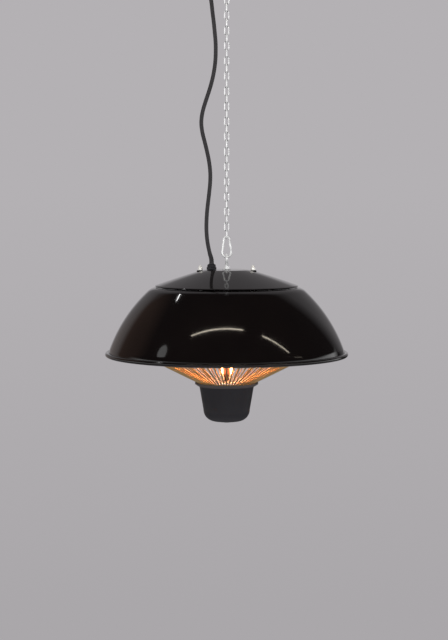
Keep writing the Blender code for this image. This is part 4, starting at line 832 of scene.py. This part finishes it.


# Lid. A pressed steel flange that closes the cup, wider than it, with a small raised lip and
# a long chamfer. The post's nut holds it under the guard, and the cup is screwed to it.
# Black powder coat, duller than the nylon and slightly pebbled; its lighter grey is a painted
# # highlight for the light that the chamfer and lip catch
coat = new_material("black_coat_painted_highlight", "#4C4645",
                    ("Roughness", 0.005, 3, 0.42, 0.56),
                    ("Base Color", 0.02, 3, "#454040", "#524C4B"),
                    ("Normal", 0.0012, 2, 0.00005, 0.5), Specular_IOR_Level=0.35)
lid_low, lid_high = heights(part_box("cup_lid"))
lid_radius, lid_bore, lid_foot, lip_z = 0.0553, 0.0042, 0.05, lid_high + 0.0013
settle(turned("cup_lid_flange", [
    (lid_bore, lid_high), (lid_radius - 0.0015, lid_high), (lid_radius - 0.0013, lip_z - 0.0003),
    (lid_radius - 0.0009, lip_z), (lid_radius - 0.0004, lip_z), (lid_radius, lip_z - 0.0004),
    (lid_radius, lid_high - 0.0014), (lid_radius - 0.0003, lid_high - 0.0017),
    (lid_foot + 0.0004, lid_low + 0.0003), (lid_foot, lid_low), (lid_bore, lid_low),
    (lid_bore, lid_high)], 128), "heater", "satin_black_plastic", coat, "cup_lid")


# Cup. A tapered cup below the guard, moulded in the same black nylon as the gland, with a
# well-rounded bottom. It holds the control board.
cup_low, cup_high = heights(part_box("cup"))
cup_radius, cup_slope, wall_height, cup_flat = 0.0477, 0.17, 0.0415, 0.020645
bottom_round, cup_wall, button_hole = 0.02, 0.0022, 0.0086
wall_end = cup_high - wall_height
cup_outer = [(cup_radius - 0.0003, cup_high), (cup_radius, cup_high - 0.0003)] \
    + [(cup_radius - cup_slope * wall_height * step / 8, cup_high - wall_height * step / 8)
       for step in range(1, 8)] \
    + arc((cup_flat, wall_end), bottom_round, 0, -90, 14)
cup_inner = [(button_hole, cup_low), (button_hole, cup_low + cup_wall)] \
    + arc((cup_flat, wall_end), bottom_round - cup_wall, -90, 0, 10) + [(0.0454, cup_high)]
settle(turned("control_cup", cup_outer + cup_inner + [cup_outer[0]], 144), "heater",
       "satin_black_plastic", plastic, "cup")


# Power button. A moulded nylon button in the cup's underside, dished for the finger, with a
# flange that keeps it in and a stem up to the board's switch.
button_low, button_high = heights(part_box("power_button"))
face_radius, keep_radius, stem_radius = 0.007, 0.0085, 0.002
settle(turned("power_button_cap", [
    (0, button_low + 0.0002), (0.004, button_low + 0.0001), (0.0062, button_low),
    (face_radius - 0.0002, button_low + 0.0003), (face_radius, button_low + 0.0009),
    (face_radius, button_low + 0.005), (keep_radius, button_low + 0.005),
    (keep_radius, button_low + 0.0065), (stem_radius, button_low + 0.0065),
    (stem_radius, button_high), (0, button_high)], 64),
    "button", "satin_black_plastic", plastic, "power_button")


# Button spring. A coil of hard plated wire round the button's stem, which shortens as the
# button goes in.
spring_low, spring_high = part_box("button_spring")
spring_wire, spring_turns, button_travel = 0.0004, 5, 0.002
spring_height, spring_radius = spring_high.z - spring_low.z, spring_high.x - spring_wire
winding_steps = spring_turns * points_per_turn
winding_line = []
for step in range(winding_steps + 1):
    angle = 2 * pi * step / points_per_turn
    winding_line.append(Vector((
        spring_radius * cos(angle), spring_radius * sin(angle),
        spring_low.z + spring_wire + (spring_height - 2 * spring_wire) * step / winding_steps)))
spring = settle(tube_along("button_coil_spring", winding_line, [spring_wire] * len(winding_line)),
                "heater", "zinc_plated_steel", zinc, "button_spring", crease=60)
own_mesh(spring)


# Receiver lens. A small window beside the button that lets the remote's light through.
# Dyed acrylic: a very dark red-violet, glossy
lens = new_material("dyed_acrylic_lens", "#1A0A12", ("Roughness", 0.002, 2, 0.05, 0.1),
                    IOR=1.49, Transmission_Weight=0.3)
refinish("receiver_lens", lens)


# Control board. A round board fixed inside the cup, above the button and the lens.
# Glass-epoxy under green solder mask: satin green with the tracks showing through
board = new_material("solder_masked_board", "#1F5A34", Roughness=0.4)
place = add_node(board, "TexCoord").outputs["Object"]
add_node(board, "TexBrick", {
    "Vector": place, "Scale": 240, "Mortar Size": 0.03, "Color1": linear("#1F5A34"),
    "Color2": linear("#246A3D"), "Mortar": linear("#3C8A55")}, feeds="Base Color")
refinish("control_board", board)


# Plug. The flex ends in a round plug moulded on it in black nylon, with finger ridges and a
# ribbed boot.
plug_low, plug_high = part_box("plug")
plug_x, plug_y = (plug_low.x + plug_high.x) / 2, (plug_low.y + plug_high.y) / 2
plug_radius, ridge_radius, ridge_pitch = 0.0185, 0.0179, 0.003
grip_low, grip_top = plug_low.z + 0.0075, plug_high.z - 0.022
plug_profile = [(0, plug_low.z), (0.0148, plug_low.z), (0.0155, plug_low.z + 0.0005),
                (0.0158, plug_low.z + 0.003), (plug_radius, plug_low.z + 0.005)]
for ridge in range(5):
    height = grip_low + ridge_pitch * ridge
    plug_profile += [(plug_radius, height), (ridge_radius, height + 0.0006),
                     (ridge_radius, height + 0.0016), (plug_radius, height + 0.0022)]
plug_profile += [(plug_radius, grip_top - 0.0112), (0.0176, grip_top - 0.007),
                 (0.013, grip_top - 0.0022), (0.0078, grip_top)]
for ridge in range(6):
    height, wide = grip_top + ridge_pitch * (ridge + 1), 0.0077 - 0.00045 * ridge
    plug_profile += [(wide, height), (wide - 0.0007, height + 0.0005),
                     (wide - 0.0008, height + 0.0013), (wide - 0.0002, height + 0.0018)]
plug_profile += [(0.0048, plug_high.z), (0, plug_high.z)]
plug = settle(turned("moulded_plug", plug_profile, 48, x=plug_x, y=plug_y), "chain_run",
              "satin_black_plastic", plastic, "plug")


# Plug's pins. Two brass pins, turned with rounded ends and nickel-plated, that stand in the
# plug's face.
pins, pin_radius = [], 0.0024
for name in ("left", "right"):
    low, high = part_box("plug_pin_" + name)
    pins.append(settle(turned("plated_pin_" + name, [
        (0, low.z), (0.0012, low.z), (0.0021, low.z + 0.0007), (pin_radius, low.z + 0.0018),
        (pin_radius, high.z), (0, high.z)], 24, x=(low.x + high.x) / 2, y=(low.y + high.y) / 2),
        "chain_run", "nickel_plated_brass", nickel, "plug_pin_" + name))


# Coil tie. A flat nylon strap that holds the coil to the chain.
tie = refinish("coil_tie", plastic)
tuple(upper_line[0])
line_length(upper_line)
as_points(upper_line)


# Floor. Plain painted board, far enough below the heater that views from below pass over it
# and that it throws no shadow there.
bpy.ops.mesh.primitive_circle_add(vertices=64, radius=3.6, fill_type="NGON",
                                  location=(0, 0, -5.2))
floor = bpy.context.object
floor.name = "studio_floor"
# Matt paint: plain pale grey, hardly mottled
paint = new_material("matt_painted_floor", "#C9C7C9",
                     ("Base Color", 0.3, 2, "#C6C4C6", "#CCCACC"), Roughness=0.8)
floor.data.materials.append(paint)


# Lights. Three large soft lamps in front, left, right and low, that gloss doesn't show. The
# glints come from a far panel low on the left, a small lamp behind and a row of ceiling tubes.
def lamp(name, place, target, size, watts, in_gloss=True):
    """A rectangular lamp aimed at a point."""
    bpy.ops.object.light_add(type="AREA", location=place)
    light = bpy.context.object
    light.name = name
    light.rotation_euler = (Vector(target) - Vector(place)).to_track_quat("-Z", "Y").to_euler()
    light.data.shape = "RECTANGLE"
    light.data.size, light.data.size_y = size
    light.data.energy = watts
    light.visible_glossy = in_gloss
    light.visible_camera = False
    return light


lamp("soft_key", (-1.9, -2.3, 0.9), (0, 0, -0.7), (1.6, 1.6), 16, in_gloss=False)
lamp("soft_fill", (2.2, -1.8, -0.2), (0, 0, -0.7), (1.6, 1.6), 4, in_gloss=False)
lamp("soft_front", (0.2, -3.4, -0.9), (0, 0, -0.8), (0.9, 0.9), 46, in_gloss=False)
far_panel = lamp("far_panel", (-1.43, -0.59, -0.03), (-0.11, -0.17, -0.82), (0.26, 0.34), 0.22)
far_panel.data.shape = "ELLIPSE"
lamp("back_lamp", (-0.8, 0.41, 0.47), (-0.08, -0.11, -0.73), (0.34, 0.02), 0.4)
watts_per_metre = 1.3
for number, (middle, length) in enumerate(((-0.34, 1.68), (2.0, 1.63), (4.58, 1.74))):
    tube = lamp(f"ceiling_tube_{number + 1}", (middle, -1.178, 0.914), (middle, -0.178, -0.79),
                (length, 0.03), watts_per_metre * length)
    tube.data.color = linear("#FFF3DF")[:3]


# Backdrop. The camera sees a plain grey wall, a little darker low down. Matt surfaces get an
# even surround, and gloss sees a room: light walls at eye level, dim in front, patches behind.
world = bpy.data.worlds.new("grey_studio")
world.use_nodes = True
bpy.context.scene.world = world
world.node_tree.nodes.clear()
dim = linear("#272425")
direction = add_node(world, "TexCoord").outputs["Generated"]
split_ray = add_node(world, "SeparateXYZ", {"Vector": direction})
back, up = split_ray.outputs["Y"], split_ray.outputs["Z"]
seen_low = add_node(world, "MapRange", {"Value": up, "From Min": -0.24, "From Max": 0.0})
wall = add_node(world, "Mix", {0: seen_low, 6: linear("#AAA7AA"), 7: linear("#B4B1B4")},
                data_type="RGBA")
towards = [add_node(world, "VectorMath", {0: direction, 1: way}, operation="DOT_PRODUCT")
           for way in ((-0.8, 0.5, 0.33), (-0.35, 0.93, 0.1), (0.1, 0.85, 0.517))]
level = add_node(world, "Math", {0: up}, operation="ABSOLUTE")
room = dim
# each zone's reading, the two ends between which it fades in, and its colour
for reading, start, end, colour in (
        (level, 0.19, 0.14, linear("#FFFFFF")), (back, 0.6, 0.75, dim),
        (towards[0], 0.86, 0.96, linear("#5C4B44")), (towards[1], 0.86, 0.93, linear("#8A8280")),
        (towards[2], 0.74, 0.86, linear("#807D7F")), (back, 0.94, 0.98, wall),
        (up, -0.19, -0.4, linear("#6E6C6E"))):
    share = add_node(world, "MapRange", {"Value": reading, "From Min": start, "From Max": end})
    room = add_node(world, "Mix", {0: share, 6: room, 7: colour}, data_type="RGBA")
ray = add_node(world, "LightPath").outputs
straight = add_node(world, "Math", {0: ray["Is Camera Ray"], 1: ray["Is Transmission Ray"]},
                    operation="MAXIMUM")
soft = add_node(world, "Mix", {0: ray["Is Glossy Ray"], 6: linear("#B8B8BA"), 7: room},
                data_type="RGBA")
shown = add_node(world, "Mix", {0: straight, 6: soft, 7: wall}, data_type="RGBA")
light_out = add_node(world, "Background", {"Color": shown})
add_node(world, "OutputWorld", {"Surface": light_out})
bpy.context.scene.view_settings.view_transform = "Standard"
